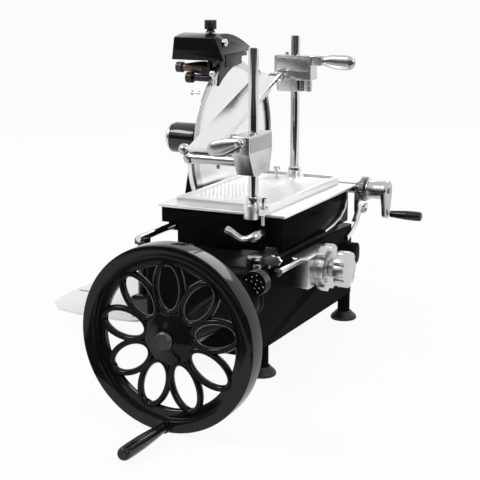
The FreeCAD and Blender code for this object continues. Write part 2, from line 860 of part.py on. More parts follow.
# Front clamp on its post
def front_clamp():
    x0, x1 = front_clamp_left, front_clamp_right
    outline = [V(x0, front_clamp_front, front_clamp_top),
               V(x0, front_clamp_back, front_clamp_top),
               V(x0, front_clamp_back, front_clamp_step),
               V(x0, front_clamp_foot_back, front_clamp_bottom),
               V(x0, front_clamp_foot_front, front_clamp_bottom),
               V(x0, front_clamp_front, front_clamp_step)]
    block = round_edges(prism(outline, V(x1 - x0, 0, 0)), 3.0, V(1, 0, 0))
    boss = rod_z(front_clamp_bottom - 4, front_clamp_bottom + 6, front_post_x, front_post_y, 14)
    block = block.fuse([boss, front_lever_pin()])
    return block.cut(rod_z(front_clamp_bottom - 20, front_clamp_top + 1, front_post_x, front_post_y,
                           post_radius + clamp_gap)).removeSplitter()


def front_arm():
    # Arm, the rest rod above it and the two end balls
    arm = rod_x(arm_left, front_clamp_left + 4, front_post_y, arm_z, arm_radius)
    rest = rod_x(press_left - 8, front_clamp_left + 4, front_post_y, rest_z, press_pin_radius)
    # Each ball is a turned shape about the rod it ends, so its seam meets the rod squarely
    low_ball = ball_x(arm_left - 3, front_post_y, arm_z, ball_radius + 0.8)
    high_ball = ball_x(press_left - ball_radius, front_post_y, rest_z + 1, ball_radius - 1)
    screw = rod_z(arm_z - arm_radius - 6, arm_z - 4, arm_left + 58, front_post_y, 4)
    low_ball = low_ball.cut(box(-200, 0, -200, 0, rest_z - 11, rest_z + 60))
    arm = arm.cut(front_clamp()).fuse([low_ball, screw])
    rest = rest.fuse(high_ball).cut(front_clamp())
    return group([arm, rest.cut(box(-200, arm_left, -200, 0, arm_z, rest_z - 10))])


lever_pivot_radius = 4.0
lever_fat = 16.0
lever_slim = 8.0


def front_lever():
    y1 = front_clamp_front - face_gap
    y0 = y1 - front_lever_thickness
    end = (front_lever_end, front_lever_z)
    lever = hull_y(end, lever_fat, (front_pivot_x, front_pivot_z), lever_slim, y0, y1)
    return lever.cut(rod_y(y0 - 1, y1 + 1, front_pivot_x, front_pivot_z, lever_pivot_radius + shaft_gap))


def front_lever_pin():
    y0 = front_clamp_front - front_lever_thickness - 2 * face_gap
    pin = rod_y(y0 - 1, front_clamp_front + 5, front_pivot_x, front_pivot_z, lever_pivot_radius)
    return pin.fuse(rod_y(y0 - 4, y0, front_pivot_x, front_pivot_z, lever_pivot_radius + 2)).removeSplitter()


# Rear clamp on its post
def rear_clamp():
    y0 = rear_clamp_front
    outline = [V(rear_clamp_left, y0, rear_clamp_top),
               V(rear_clamp_right, y0, rear_clamp_top),
               V(rear_clamp_right, y0, rear_clamp_shoulder),
               V(rear_clamp_foot_right, y0, rear_clamp_shoulder),
               V(rear_clamp_foot_right, y0, rear_clamp_bottom),
               V(rear_clamp_foot_left, y0, rear_clamp_bottom),
               V(rear_clamp_left, y0, rear_clamp_step)]
    block = round_edges(prism(outline, V(0, rear_clamp_back - y0, 0)), 3.0, V(0, 1, 0))
    lug = box(lug_left, lug_right, press_back - 8, y0 + 6, press_back_z - 9, press_back_z + 9)
    block = block.fuse([lug, rear_lever_fork()])
    hole = rod_x(lug_left - 1, lug_right + 1, press_back, press_back_z, press_pin_radius + shaft_gap)
    block = block.cut(hole)
    return block.cut(rod_z(rear_clamp_bottom - 1, rear_clamp_top + 1, rear_post_x, rear_post_y,
                           post_radius + clamp_gap)).removeSplitter()


def rear_clamp_screws():
    # Small set screw on top, a knurled knob and a dark stud under the right half
    top = rod_z(rear_clamp_top, rear_clamp_top + 6, rear_clamp_left + 22, rear_post_y, 4)
    knob_x = rear_clamp_right - 9
    knob = rod_z(rear_clamp_bottom + 1, rear_clamp_shoulder - 1, knob_x, rear_clamp_front + 12, 7.6)
    neck = rod_z(rear_clamp_shoulder - 2, rear_clamp_shoulder, knob_x, rear_clamp_front + 12, 4)
    knob = toothed_wheel(knob, V(knob_x, rear_clamp_front + 12, rear_clamp_bottom), V(0, 0, 1), 8.2, 14)
    return group([top, knob.fuse(neck)])


def rear_lever():
    y0 = rear_post_y - rear_lever_thickness / 2
    big = (rear_lever_top - rear_lever_bottom) / 2
    far = (rear_clamp_right + rear_lever_reach - big, rear_lever_bottom + big)
    lever = hull_y(far, big, (rear_pivot_x, rear_pivot_z), lever_slim, y0, y0 + rear_lever_thickness)
    return lever.cut(rod_y(y0 - 1, y0 + rear_lever_thickness + 1, rear_pivot_x, rear_pivot_z,
                           lever_pivot_radius + shaft_gap))


def rear_lever_fork():
    y0 = rear_post_y - rear_lever_thickness / 2 - face_gap
    y1 = rear_post_y + rear_lever_thickness / 2 + face_gap
    ears = []
    for start in (y0 - fork_wall, y1):
        ears.append(box(rear_clamp_right - 5, rear_pivot_x + lever_slim + 1, start, start + fork_wall,
                        rear_pivot_z - 9, rear_clamp_top - 1))
    pin = rod_y(y0 - fork_wall - 1, y1 + fork_wall + 1, rear_pivot_x, rear_pivot_z, lever_pivot_radius)
    return ears[0].fuse([ears[1], pin]).removeSplitter()


# Press plate between the two clamps
def press_plate():
    rise = press_back_z - rest_z
    run = press_back - front_post_y
    slope = V(0, run, rise)
    slope.normalize()
    normal = V(0, -slope.z, slope.y)
    start = V(press_left, front_post_y, rest_z) + normal * (press_pin_radius + 0.2) - slope * 9
    length = math.hypot(run, rise) + 9
    far = start + slope * (length - 14)
    plate = prism([start, far, far + normal * press_thickness, start + normal * press_thickness],
                  V(press_width, 0, 0))
    lip = start + slope * 16
    flange = prism([lip, far, far - normal * 12, lip + slope * 8 - normal * 12], V(3, 0, 0))
    plate = plate.fuse(flange)
    teeth = []
    pitch = 11.0
    for i in range(int((length - 90) / pitch)):
        foot = start + slope * (40 + pitch * i) + V(press_width - 6, 0, 0)
        teeth.append(prism([foot, foot + slope * pitch * 0.8, foot + slope * pitch * 0.4 - normal * 9],
                           V(6, 0, 0)))
    plate = plate.fuse(teeth)
    knuckles = []
    for x0, x1 in ((press_left, lug_left - 0.5), (lug_right + 0.5, press_left + press_width)):
        tube = rod_x(x0, x1, press_back, press_back_z, press_pin_radius + 4)
        tongue = prism([far, far + slope * 14, far + slope * 14 + normal * press_thickness,
                        far + normal * press_thickness], V(x1 - x0, 0, 0))
        tongue.translate(V(x0 - press_left, 0, 0))
        knuckles.extend([tube, tongue])
    plate = plate.fuse(knuckles)
    pin = rod_x(press_left - 2, press_left + press_width + 2, press_back, press_back_z, press_pin_radius)
    return plate.fuse(pin)


# Sharpener above the blade
def cover_block(grow):
    # Trapezoid in front view crossed with an arched side view, smaller by grow all round
    bottom = cover_bottom - (0 if grow == 0 else 1)
    top = cover_top + 8
    front_view = prism([V(cover_left_bottom + grow, 0, bottom), V(cover_right_bottom - grow, 0, bottom),
                        V(cover_right_top - grow - 3, 0, top), V(cover_left_top + grow + 1, 0, top)],
                       V(0, 600, 0))
    a = V(cover_left_bottom - 20, cover_front + grow, bottom)
    b = V(cover_left_bottom - 20, cover_front + grow, cover_top - 2 - grow)
    c = V(cover_left_bottom - 20, cover_front + 68, cover_top + 4 - grow)
    d = V(cover_left_bottom - 20, cover_back - grow, cover_top - 28 - grow)
    e = V(cover_left_bottom - 20, cover_back - grow, bottom)
    bow = Part.Arc(b, c, d).toShape()
    wire = Part.Wire([Part.makeLine(a, b), bow, Part.makeLine(d, e), Part.makeLine(e, a)])
    side_view = Part.Face(wire).extrude(V(200, 0, 0))
    return front_view.common(side_view)


def sharpener_cover():
    shell = cover_block(0).cut(cover_block(cover_wall))
    relief = box(cover_right_top - 4, cover_right_bottom + 10, cover_front + 8, cover_back + 1,
                 cover_bottom - 1, cover_bottom + 13)
    shell = shell.cut(relief)
    boss = rod_z(cover_bottom + 12, cover_top + 20, top_knob_x, top_knob_y, 9).common(cover_block(0))
    shell = shell.fuse(boss)
    return shell.cut(rod_z(cover_bottom, cover_top + 20, top_knob_x, top_knob_y, 4 + shaft_gap))


def sharpener_bracket():
    # Arm up from the column, bridge over the blade, a cheek at each side and the two spindle bosses
    arm_back = blade_y + 34
    arm = box(arm_post_left, column_right - 4, blade_y + 4, arm_back, blade_z + 20,
              cover_bottom + 6)
    left_cheek = box(column_right - 8, column_right - 2, 176, arm_back, 505, cover_bottom + 12)
    bridge = box(column_right - 8, -171, 190, arm_back, cover_bottom + 4, cover_bottom + 12)
    right_cheek = box(-177, -171, 178, 238, 524, cover_bottom + 12)
    lid = box(cover_left_bottom + 12, column_right - 8, 190, arm_back, cover_bottom + 4, cover_bottom + 12)
    bracket = arm.fuse([left_cheek, bridge, right_cheek, lid])
    for y, z, radius, knob_left in stone_places:
        bracket = bracket.fuse(rod_x(knob_left + stone_knob_length + 6, column_right - 4, y, z,
                                     stone_spindle_radius + 4))
    web = box(arm_post_left, column_right - 4, 182, blade_y + 6, 496, 524)
    bracket = bracket.fuse(web)
    column_head = rod_x(column_left - 1, column_right + 10, blade_y, blade_z, column_top_radius)
    bracket = bracket.cut(column_head)
    for y, z, radius, knob_left in stone_places:
        bracket = bracket.cut(rod_x(knob_left, -160, y, z, stone_spindle_radius + shaft_gap))
    bracket = bracket.cut(rod_z(cover_bottom, cover_bottom + 13, top_knob_x, top_knob_y, 4 + shaft_gap))
    return bracket.removeSplitter()


def stone_spindle(y, z, radius, knob_left):
    knob = rod_x(knob_left, knob_left + stone_knob_length, y, z, stone_knob_radius)
    knob = toothed_wheel(knob, V(knob_left, y, z), V(1, 0, 0), stone_knob_radius + 0.8, 16)
    face = blade_x - blade_thickness / 2 - stone_gap
    stem = rod_x(knob_left + stone_knob_length - 1, face - 1, y, z, stone_spindle_radius)
    stone = rod_x(face - stone_thickness, face, y, z, radius)
    return knob.fuse([stem, stone]).removeSplitter()


def top_knob():
    z0 = cover_top + 14
    knob = rod_z(z0, z0 + 19, top_knob_x, top_knob_y, 13)
    knob = toothed_wheel(knob, V(top_knob_x, top_knob_y, z0), V(0, 0, 1), 13.8, 18)
    skirt = cone_z(cover_top + 6.6, z0, top_knob_x, top_knob_y, 11, 7)
    stem = rod_z(cover_bottom + 4, z0, top_knob_x, top_knob_y, 4)
    return knob.fuse([skirt, stem])


def cover_screw():
    screw = rod_x(cover_right_top - 1, cover_right_top + 14, cover_front + 32, cover_top - 14, 8)
    return screw.cut(cover_block(0))


# Feed screw, ratchet, crank and pawl at the back right
def feed_housing():
    tube = rod_x(table_left + 30, feed_flange_x, feed_y, feed_z, feed_tube_radius)
    flange = rod_x(feed_flange_x - 3, feed_flange_x + 3, feed_y, feed_z, feed_flange_radius)
    shelf = box(table_left + 30, feed_flange_x - 20, frame_back, feed_y, sheet_bottom - 10, sheet_bottom)
    housing = tube.fuse([flange, shelf, pawl_bracket()])
    return housing.cut(rod_x(table_left - 1, feed_flange_x + 4, feed_y, feed_z,
                             feed_screw_radius + shaft_gap)).removeSplitter()


def feed_screw():
    return rod_x(table_left + 20, crank_arm_x + crank_arm_thickness + 2, feed_y, feed_z, feed_screw_radius)


def ratchet_gear():
    blank = rod_x(ratchet_x, ratchet_x + ratchet_width, feed_y, feed_z, ratchet_radius)
    centre = V(ratchet_x, feed_y, feed_z)
    blank = toothed_wheel(blank, centre, V(1, 0, 0), ratchet_radius + 0.5, ratchet_teeth)
    return blank.cut(rod_x(ratchet_x - 1, ratchet_x + ratchet_width + 1, feed_y, feed_z,
                           feed_screw_radius)).removeSplitter()


def feed_crank():
    hub = rod_x(crank_disc_x, crank_arm_x, feed_y, feed_z, crank_hub_radius)
    disc = rod_x(crank_disc_x, crank_hub_x, feed_y, feed_z, crank_disc_radius)
    low = (feed_y, feed_z - crank_throw)
    end = crank_arm_x + crank_arm_thickness
    arm = hull_x((feed_y, feed_z), crank_arm_radius, low, 10, crank_arm_x, end)
    crank = hub.fuse([disc, arm])
    crank = crank.cut(rod_x(crank_disc_x - 1, end + 8, feed_y, feed_z, feed_screw_radius))
    pin = rod_x(end - 1, end + crank_grip_length + 6, low[0], low[1], 4)
    cap = rod_x(end + crank_grip_length + 4, end + crank_grip_length + 7, low[0], low[1], 7)
    return crank.fuse([pin, cap]).removeSplitter()


def feed_grip():
    x0 = crank_arm_x + crank_arm_thickness + face_gap
    middle = x0 + crank_grip_length * 0.55
    y, z = feed_y, feed_z - crank_throw
    waist = cone_x(x0, middle, y, z, crank_grip_radius * 0.72, crank_grip_radius)
    full = cone_x(middle, x0 + crank_grip_length, y, z, crank_grip_radius, crank_grip_radius * 0.92)
    hole = rod_x(x0 - 1, x0 + crank_grip_length + 1, y, z, 4 + shaft_gap)
    return waist.fuse(full).cut(hole).removeSplitter()


def pawl_bracket():
    # Arm below the ratchet that carries the pawl pivot
    x0 = feed_flange_x - 3
    plate = hull_x((feed_y, feed_z), feed_flange_radius - 4, (pawl_y, pawl_z), 9, x0 - 7, x0)
    pin = rod_x(x0 - 1, ratchet_x + ratchet_width + 2, pawl_y, pawl_z, 4)
    return plate.fuse(pin).removeSplitter()


def feed_pawl():
    body = hull_x((pawl_y, pawl_z), 9, (pawl_y + 12, pawl_z + 8), 5, ratchet_x, ratchet_x + ratchet_width)
    return body.cut(rod_x(ratchet_x - 1, ratchet_x + ratchet_width + 1, pawl_y, pawl_z, 4 + shaft_gap))


# Thickness adjuster on the right side of the base
def dial_block():
    x0, x1 = body_right, body_right + dial_block_depth
    block = box(x0, x1, dial_block_front, dial_block_back, dial_block_bottom, dial_block_top)
    block = round_edges(block, 5, V(1, 0, 0))
    return block.cut(rod_x(x0 + 6, x1 + 1, dial_y, dial_z, 8 + shaft_gap))


def lobed_disc(x0, x1, radius, lobes, lobe_radius):
    disc = rod_x(x0, x1, dial_y, dial_z, radius)
    for i in range(lobes):
        angle = 2 * math.pi * (i + 0.5) / lobes
        reach = radius + lobe_radius * 0.45
        disc = disc.cut(rod_x(x0 - 1, x1 + 1, dial_y + reach * math.cos(angle),
                              dial_z + reach * math.sin(angle), lobe_radius))
    return disc


def dial_flange():
    x0 = body_right + dial_block_depth
    flange = lobed_disc(x0, x0 + dial_flange_thickness, dial_flange_radius, 6, 14)
    return flange.cut(rod_x(x0 - 1, x0 + 30, dial_y, dial_z, 8 + shaft_gap))


def thickness_knob():
    x0 = body_right + dial_block_depth + dial_flange_thickness
    start = x0 + dial_stem
    knob = lobed_disc(start, start + dial_knob_thickness, dial_knob_radius, dial_lobes, 7)
    stem = rod_x(body_right + 8, start + 1, dial_y, dial_z, 8)
    collar = rod_x(x0 + face_gap, start + 1, dial_y, dial_z, 18)
    return knob.fuse([stem, collar]).removeSplitter()


def adjuster_rod():
    x = body_right + 12
    rod = rod_y(-196, dial_block_front, x, 196, 5)
    collar = rod_y(-204, -192, x, 196, 8)
    lug = box(body_right, x + 8, -212, -202, 186, 206)
    return rod.fuse([collar, lug]).removeSplitter()


def band_x(points, half, x0, x1):
    # Flat band that follows a path of (y, z) points, given depth along X
    left, right = [], []
    count = len(points)
    for i in range(count):
        before, after = points[max(i - 1, 0)], points[min(i + 1, count - 1)]
        run = V(0, after[0] - before[0], after[1] - before[1])
        run.normalize()
        here = V(x0, points[i][0], points[i][1])
        left.append(here + V(0, -run.z, run.y) * half)
        right.append(here - V(0, -run.z, run.y) * half)
    return prism(left + right[::-1], V(x1 - x0, 0, 0))


def trip_strips():
    # Bowed strip down from the feed flange, and a slim bowed strip on the right wall of the carriage
    upper = band_x(strip_path[:4], strip_half, feed_flange_x - 2, feed_flange_x + 3.4)
    lower = band_x(strip_path[2:], strip_half, feed_flange_x - 2, body_right + 5)
    lower = lower.cut(box(0, body_right + 1.5, 0, 400, 0, body_top + 3))
    lower = lower.cut(box(feed_flange_x + 3.4, 200, 0, 400, 238, 400))
    outer = upper.fuse(lower).cut(rod_x(0, 200, feed_y, feed_z, feed_flange_radius - 3))
    outer = outer.cut(feed_housing())
    inner = band_x(slim_path, 2.5, frame_right, frame_right + strip_width)
    return group([outer.removeSplitter(), inner])


def cam_lug():
    block = box(body_right - 4, body_right + 26, 146, 196, 130, 174)
    return round_edges(block, 16, V(1, 0, 0))


# Release handle at the front of the carriage
def release_handle():
    x, z = handle_pivot_x, handle_pivot_z
    front = frame_front - 48
    shaft = rod_y(front, frame_front + frame_wall - 1, x, z, handle_pivot_radius)
    collar = rod_y(front - 2, front + 22, x, z, 9)
    elbow = (x - 20, z - 12)
    inner = hull_y((x, z), 8, elbow, 6, front, front + 10)
    outer = hull_y(elbow, 6, (x - 58, z + 9), 8.5, front, front + 10)
    return shaft.fuse([collar, inner, outer]).removeSplitter()


def main():
    os.makedirs("parts", exist_ok=True)
    save("rubber_feet", group([rubber_foot(x, y) for x, y in foot_places()]))
    save("base_casting", base_casting())
    save("base_cover", base_cover())
    save("bearing_housing", gear_case())
    save("rail_front_post", rail_front_post())
    save("rail_rear_bracket", rail_rear_bracket())
    save("guide_rail", guide_rail())
    save("roller_track", roller_track())
    save("oiler_cap", oiler_cap())
    save("blade_column", blade_column())
    save("column_cover", column_cover())
    save("hub_drum", hub_drum())
    save("hub_cap", hub_cap())
    save("blade_guard", blade_guard())
    save("edge_guard", edge_guard())
    save("slice_tray", slice_tray())
    save("tray_bars", tray_bars())
    save("flywheel", flywheel())
    save("main_shaft", main_shaft())
    save("handle_spindle", handle_spindle())
    save("flywheel_grip", flywheel_grip())
    save("lay_shaft", lay_shaft())
    save("cross_shaft", cross_shaft())
    save("drive_chain", drive_chain())
    save("blade", blade())
    save("blade_shaft", blade_shaft())
    save("carriage_frame", carriage_frame())
    save("carriage_sheet", carriage_sheet())
    save("front_roller", carriage_roller(roller_places[0]))
    save("rear_roller", carriage_roller(roller_places[1]))
    save("trip_strips", trip_strips())
    save("release_handle", release_handle())
    save("meat_table", meat_table())
    save("front_post", meat_post(front_post_x, front_post_y))
    save("rear_post", meat_post(rear_post_x, rear_post_y))
    front_collar = post_collar(front_post_x, front_post_y)
    save("post_collars", group([front_collar, post_collar(rear_post_x, rear_post_y)]))
    save("stop_pins", stop_pins())
    save("front_clamp", front_clamp())
    save("front_arm", front_arm())
    save("front_lever", front_lever())
    save("rear_clamp", rear_clamp())
    save("rear_clamp_screws", rear_clamp_screws())
    save("rear_lever", rear_lever())
    save("press_plate", press_plate())
    save("sharpener_cover", sharpener_cover())
    save("sharpener_bracket", sharpener_bracket())
    save("top_knob", top_knob())
    save("cover_screw", cover_screw())
    save("truing_spindle", stone_spindle(*stone_places[0]))
    save("honing_spindle", stone_spindle(*stone_places[1]))
    save("feed_housing", feed_housing())
    save("feed_screw", feed_screw())
    save("ratchet_gear", ratchet_gear())
    save("feed_crank", feed_crank())
    save("feed_grip", feed_grip())
    save("feed_pawl", feed_pawl())
    save("dial_block", dial_block())
    save("dial_flange", dial_flange())
    save("thickness_knob", thickness_knob())
    save("adjuster_rod", adjuster_rod())


main()
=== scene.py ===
import json
import math

import bmesh
import bpy
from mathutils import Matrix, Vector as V

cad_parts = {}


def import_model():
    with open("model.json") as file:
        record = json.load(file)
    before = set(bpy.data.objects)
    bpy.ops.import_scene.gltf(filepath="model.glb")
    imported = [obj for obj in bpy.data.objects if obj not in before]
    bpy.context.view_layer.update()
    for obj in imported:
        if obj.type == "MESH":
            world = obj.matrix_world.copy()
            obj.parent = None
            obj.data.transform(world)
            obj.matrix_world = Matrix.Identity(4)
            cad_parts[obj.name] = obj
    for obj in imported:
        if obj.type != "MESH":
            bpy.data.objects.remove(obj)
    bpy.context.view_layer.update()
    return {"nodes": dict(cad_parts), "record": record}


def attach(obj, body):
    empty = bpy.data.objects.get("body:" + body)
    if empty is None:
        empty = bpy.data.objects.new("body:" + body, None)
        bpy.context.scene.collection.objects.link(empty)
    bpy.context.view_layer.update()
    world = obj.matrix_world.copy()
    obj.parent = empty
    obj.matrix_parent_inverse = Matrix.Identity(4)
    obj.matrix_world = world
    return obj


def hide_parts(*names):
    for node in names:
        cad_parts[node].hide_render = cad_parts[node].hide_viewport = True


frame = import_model()
NODES = frame["nodes"]
MM = 0.001


# Node helpers for the materials
def new_material(name):
    material = bpy.data.materials.new(name)
    material.use_nodes = True
    tree = material.node_tree
    tree.nodes.clear()
    output = tree.nodes.new("ShaderNodeOutputMaterial")
    shader = tree.nodes.new("ShaderNodeBsdfPrincipled")
    tree.links.new(shader.outputs["BSDF"], output.inputs["Surface"])
    return material, tree, shader


def object_position(tree, scale=(1.0, 1.0, 1.0)):
    coords = tree.nodes.new("ShaderNodeTexCoord")
    mapping = tree.nodes.new("ShaderNodeMapping")
    mapping.inputs["Scale"].default_value = scale
    tree.links.new(coords.outputs["Object"], mapping.inputs["Vector"])
    return mapping.outputs["Vector"]


def noise(tree, vector, scale, detail=3.0, rough=0.5):
    node = tree.nodes.new("ShaderNodeTexNoise")
    node.inputs["Scale"].default_value = scale
    node.inputs["Detail"].default_value = detail
    node.inputs["Roughness"].default_value = rough
    tree.links.new(vector, node.inputs["Vector"])
    return node.outputs["Fac"]


def ramp(tree, factor, low, high, start=0.3, stop=0.7):
    node = tree.nodes.new("ShaderNodeMapRange")
    node.inputs["From Min"].default_value = start
    node.inputs["From Max"].default_value = stop
    node.inputs["To Min"].default_value = low
    node.inputs["To Max"].default_value = high
    tree.links.new(factor, node.inputs["Value"])
    return node.outputs["Result"]


def colour_mix(tree, factor, first, second):
    node = tree.nodes.new("ShaderNodeMix")
    node.data_type = "RGBA"
    node.inputs["A"].default_value = (*first, 1)
    node.inputs["B"].default_value = (*second, 1)
    tree.links.new(factor, node.inputs["Factor"])
    return node.outputs["Result"]


def bump(tree, shader, height, strength, distance=0.0005):
    node = tree.nodes.new("ShaderNodeBump")
    node.inputs["Strength"].default_value = strength
    node.inputs["Distance"].default_value = distance
    tree.links.new(height, node.inputs["Height"])
    tree.links.new(node.outputs["Normal"], shader.inputs["Normal"])
    return node


def enamel(name, first, second, rough_low, rough_high, wave=0.15, gloss=1.45, coat=0.3):
    # Glossy paint over cast metal: slow waves in the casting and fine dust in the gloss
    material, tree, shader = new_material(name)
    where = object_position(tree)
    slow = noise(tree, where, 28.0, 2.0)
    fine = noise(tree, where, 420.0, 4.0)
    tree.links.new(colour_mix(tree, slow, first, second), shader.inputs["Base Color"])
    tree.links.new(ramp(tree, fine, rough_low, rough_high), shader.inputs["Roughness"])
    bump(tree, shader, slow, wave, 0.0012)
    shader.inputs["IOR"].default_value = gloss
    shader.inputs["Coat Weight"].default_value = coat
    shader.inputs["Coat Roughness"].default_value = 0.04
    return material


def metal(name, first, second, rough_low, rough_high, grain=(1.0, 1.0, 1.0), grain_scale=300.0,
          strength=0.06):
    # Bare metal with a directional grain and slow changes of tone
    material, tree, shader = new_material(name)
    where = object_position(tree)
    lines = noise(tree, object_position(tree, grain), grain_scale, 4.0, 0.6)
    slow = noise(tree, where, 9.0, 2.0)
    tree.links.new(colour_mix(tree, slow, first, second), shader.inputs["Base Color"])
    tree.links.new(ramp(tree, lines, rough_low, rough_high), shader.inputs["Roughness"])
    shader.inputs["Metallic"].default_value = 1.0
    bump(tree, shader, lines, strength, 0.00004)
    return material


BLACK = enamel("black_enamel", (0.006, 0.006, 0.007), (0.010, 0.010, 0.011), 0.06, 0.13, 0.08)
BODY_BLACK = enamel("black_body", (0.005, 0.005, 0.006), (0.009, 0.009, 0.010), 0.08, 0.16, 0.06,
                    1.035, 0.0)
WHEEL_BLACK = enamel("black_wheel_web", (0.006, 0.006, 0.007), (0.010, 0.010, 0.011), 0.08, 0.14,
                     0.06, 1.26, 0.0)
RIM_BLACK = enamel("black_wheel_rim", (0.006, 0.006, 0.007), (0.010, 0.010, 0.011), 0.06, 0.12,
                   0.06, 1.34, 0.0)
PLASTIC = enamel("black_grip", (0.006, 0.006, 0.007), (0.010, 0.010, 0.011), 0.14, 0.24, 0.05, 1.4,
                 0.0)
RUBBER = enamel("dark_rubber", (0.014, 0.014, 0.015), (0.024, 0.024, 0.026), 0.40, 0.55, 0.2, 1.4,
                0.0)
CHROME = metal("chrome", (0.70, 0.70, 0.71), (0.62, 0.62, 0.63), 0.04, 0.10, (1, 1, 1), 120.0, 0.05)
STEEL = metal("bare_steel", (0.84, 0.84, 0.85), (0.76, 0.76, 0.77), 0.20, 0.28, (1, 12, 12), 40.0,
              0.2)
SATIN = metal("satin_steel", (0.54, 0.54, 0.55), (0.46, 0.46, 0.47), 0.20, 0.28, (1, 1, 1), 300.0,
              0.1)
CLAMP = metal("brushed_clamp", (0.66, 0.66, 0.67), (0.60, 0.60, 0.61), 0.24, 0.34, (1, 1, 16), 60.0,
              0.2)
# Darker brushed metal for the clamp's side panel, also used as a painted dark reflection on the
# clamp's front face
PANEL_AND_PAINTED_REFLECTION = metal("dark_panel_and_painted_reflection", (0.44, 0.44, 0.45), (0.36, 0.36, 0.37), 0.26, 0.36, (1, 1, 20), 60.0,
              0.3)
TABLE_STEEL = metal("table_steel", (0.92, 0.92, 0.93), (0.88, 0.88, 0.89), 0.34, 0.42, (14, 1, 14),
                    40.0, 0.2)
BLADE_STEEL = metal("blade_steel", (0.90, 0.90, 0.91), (0.87, 0.87, 0.88), 0.28, 0.34, (1, 1, 1),
                    260.0, 0.05)
BEVEL_STEEL = metal("blade_bevel", (0.66, 0.66, 0.67), (0.60, 0.60, 0.61), 0.22, 0.30, (1, 1, 1),
                    300.0, 0.1)
INNER_STEEL = metal("inner_steel", (0.34, 0.34, 0.35), (0.20, 0.20, 0.21), 0.24, 0.38, (1, 1, 1),
                    300.0, 0.3)
GREY = metal("grey_aluminium", (0.62, 0.62, 0.63), (0.54, 0.54, 0.55), 0.26, 0.36, (1, 1, 1), 320.0,
             0.3)
WORN = metal("worn_cap", (0.16, 0.16, 0.16), (0.04, 0.04, 0.04), 0.30, 0.60, (1, 1, 1), 300.0, 1.0)
BROWN = metal("brown_casting", (0.22, 0.16, 0.12), (0.08, 0.06, 0.05), 0.30, 0.50, (1, 1, 1), 200.0,
              0.8)
DARK = metal("dark_casting", (0.07, 0.07, 0.075), (0.03, 0.03, 0.033), 0.25, 0.45, (1, 1, 1), 200.0,
             0.5)
# Near-white tray colour: a painted reflection of the white surroundings in the tray's bare steel
TRAY_PAINTED_REFLECTION = enamel("tray_painted_white_reflection", (0.97, 0.97, 0.97), (0.94, 0.94, 0.94), 0.25, 0.4, 0.05, 1.4, 0.0)

LOOKS = {
    BLACK: ("rail_front_post", "rail_rear_bracket", "hub_drum", "blade_guard", "flywheel"),
    BODY_BLACK: ("bearing_housing", "base_casting", "base_cover", "blade_column", "column_cover",
                 "carriage_frame"),
    WHEEL_BLACK: ("sharpener_cover",),
    PLASTIC: ("handle_spindle", "flywheel_grip", "feed_grip"),
    RUBBER: ("rubber_feet",),
    CHROME: ("guide_rail", "hub_cap", "front_post", "rear_post", "stop_pins", "cover_screw",
             "adjuster_rod", "post_collars"),
    SATIN: ("front_arm", "front_lever", "rear_lever", "release_handle", "feed_crank", "oiler_cap"),
    CLAMP: ("front_clamp", "rear_clamp"),
    STEEL: ("edge_guard", "tray_bars", "rear_clamp_screws", "press_plate",
            "feed_pawl", "trip_strips"),
    TRAY_PAINTED_REFLECTION: ("slice_tray",),
    TABLE_STEEL: ("carriage_sheet", "meat_table"),
    BLADE_STEEL: ("blade",),
    INNER_STEEL: ("roller_track", "lay_shaft", "cross_shaft", "drive_chain", "blade_shaft",
                  "front_roller", "rear_roller", "feed_screw", "ratchet_gear",
                  "feed_housing"),
    WORN: ("main_shaft",),
    GREY: ("dial_block", "dial_flange", "thickness_knob"),
    DARK: ("sharpener_bracket", "top_knob", "truing_spindle", "honing_spindle"),
}
BODY_OF = {}
for body_name, body_nodes in frame["record"]["behaviour"]["bodies"].items():
    for node_name in body_nodes:
        BODY_OF[node_name] = body_name
for material, names in LOOKS.items():
    for name in names:
        node = NODES[name]
        node.data.materials.clear()
        node.data.materials.append(material)


def linked_object(name, bm, material):
    mesh = bpy.data.meshes.new(name)
    bm.to_mesh(mesh)
    bm.free()
    mesh.materials.append(material)
    obj = bpy.data.objects.new(name, mesh)
    bpy.context.scene.collection.objects.link(obj)
    return obj


# Mesh helpers: every piece is given in millimetres and stored in metres
def finish_mesh(name, bm, body, material, angle=32.0):
    bmesh.ops.remove_doubles(bm, verts=bm.verts, dist=1e-6)
    bmesh.ops.recalc_face_normals(bm, faces=bm.faces)
    limit = math.radians(angle)
    for face in bm.faces:
        face.smooth = True
    for edge in bm.edges:
        edge.smooth = len(edge.link_faces) == 2 and edge.calc_face_angle(0.0) < limit
    obj = linked_object(name, bm, material)
    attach(obj, body)
    return obj


def softened(points, radius, closed=True, steps=3):
    # Rounds the corners of a flat outline; radius may be one number or one per corner
    out = []
    count = len(points)
    for i, point in enumerate(points):
        if not closed and i in (0, count - 1):
            out.append(tuple(point))
            continue
        r = radius[i] if isinstance(radius, (list, tuple)) else radius
        p = V(point)
        before, after = V(points[i - 1]) - p, V(points[(i + 1) % count]) - p
        reach = min(r, before.length * 0.45, after.length * 0.45)
        if reach < 0.01:
            out.append(tuple(point))
            continue
        a, b = p + before.normalized() * reach, p + after.normalized() * reach
        for k in range(steps + 1):
            t = k / steps
            q = a.lerp(p, t).lerp(p.lerp(b, t), t)
            out.append((q.x, q.y))
    return out


def placed(axis, t, u, v):
    # A point from its place along an axis and its two places across it
    if axis == "x":
        return V((t, u, v)) * MM
    if axis == "y":
        return V((u, t, v)) * MM
    return V((u, v, t)) * MM


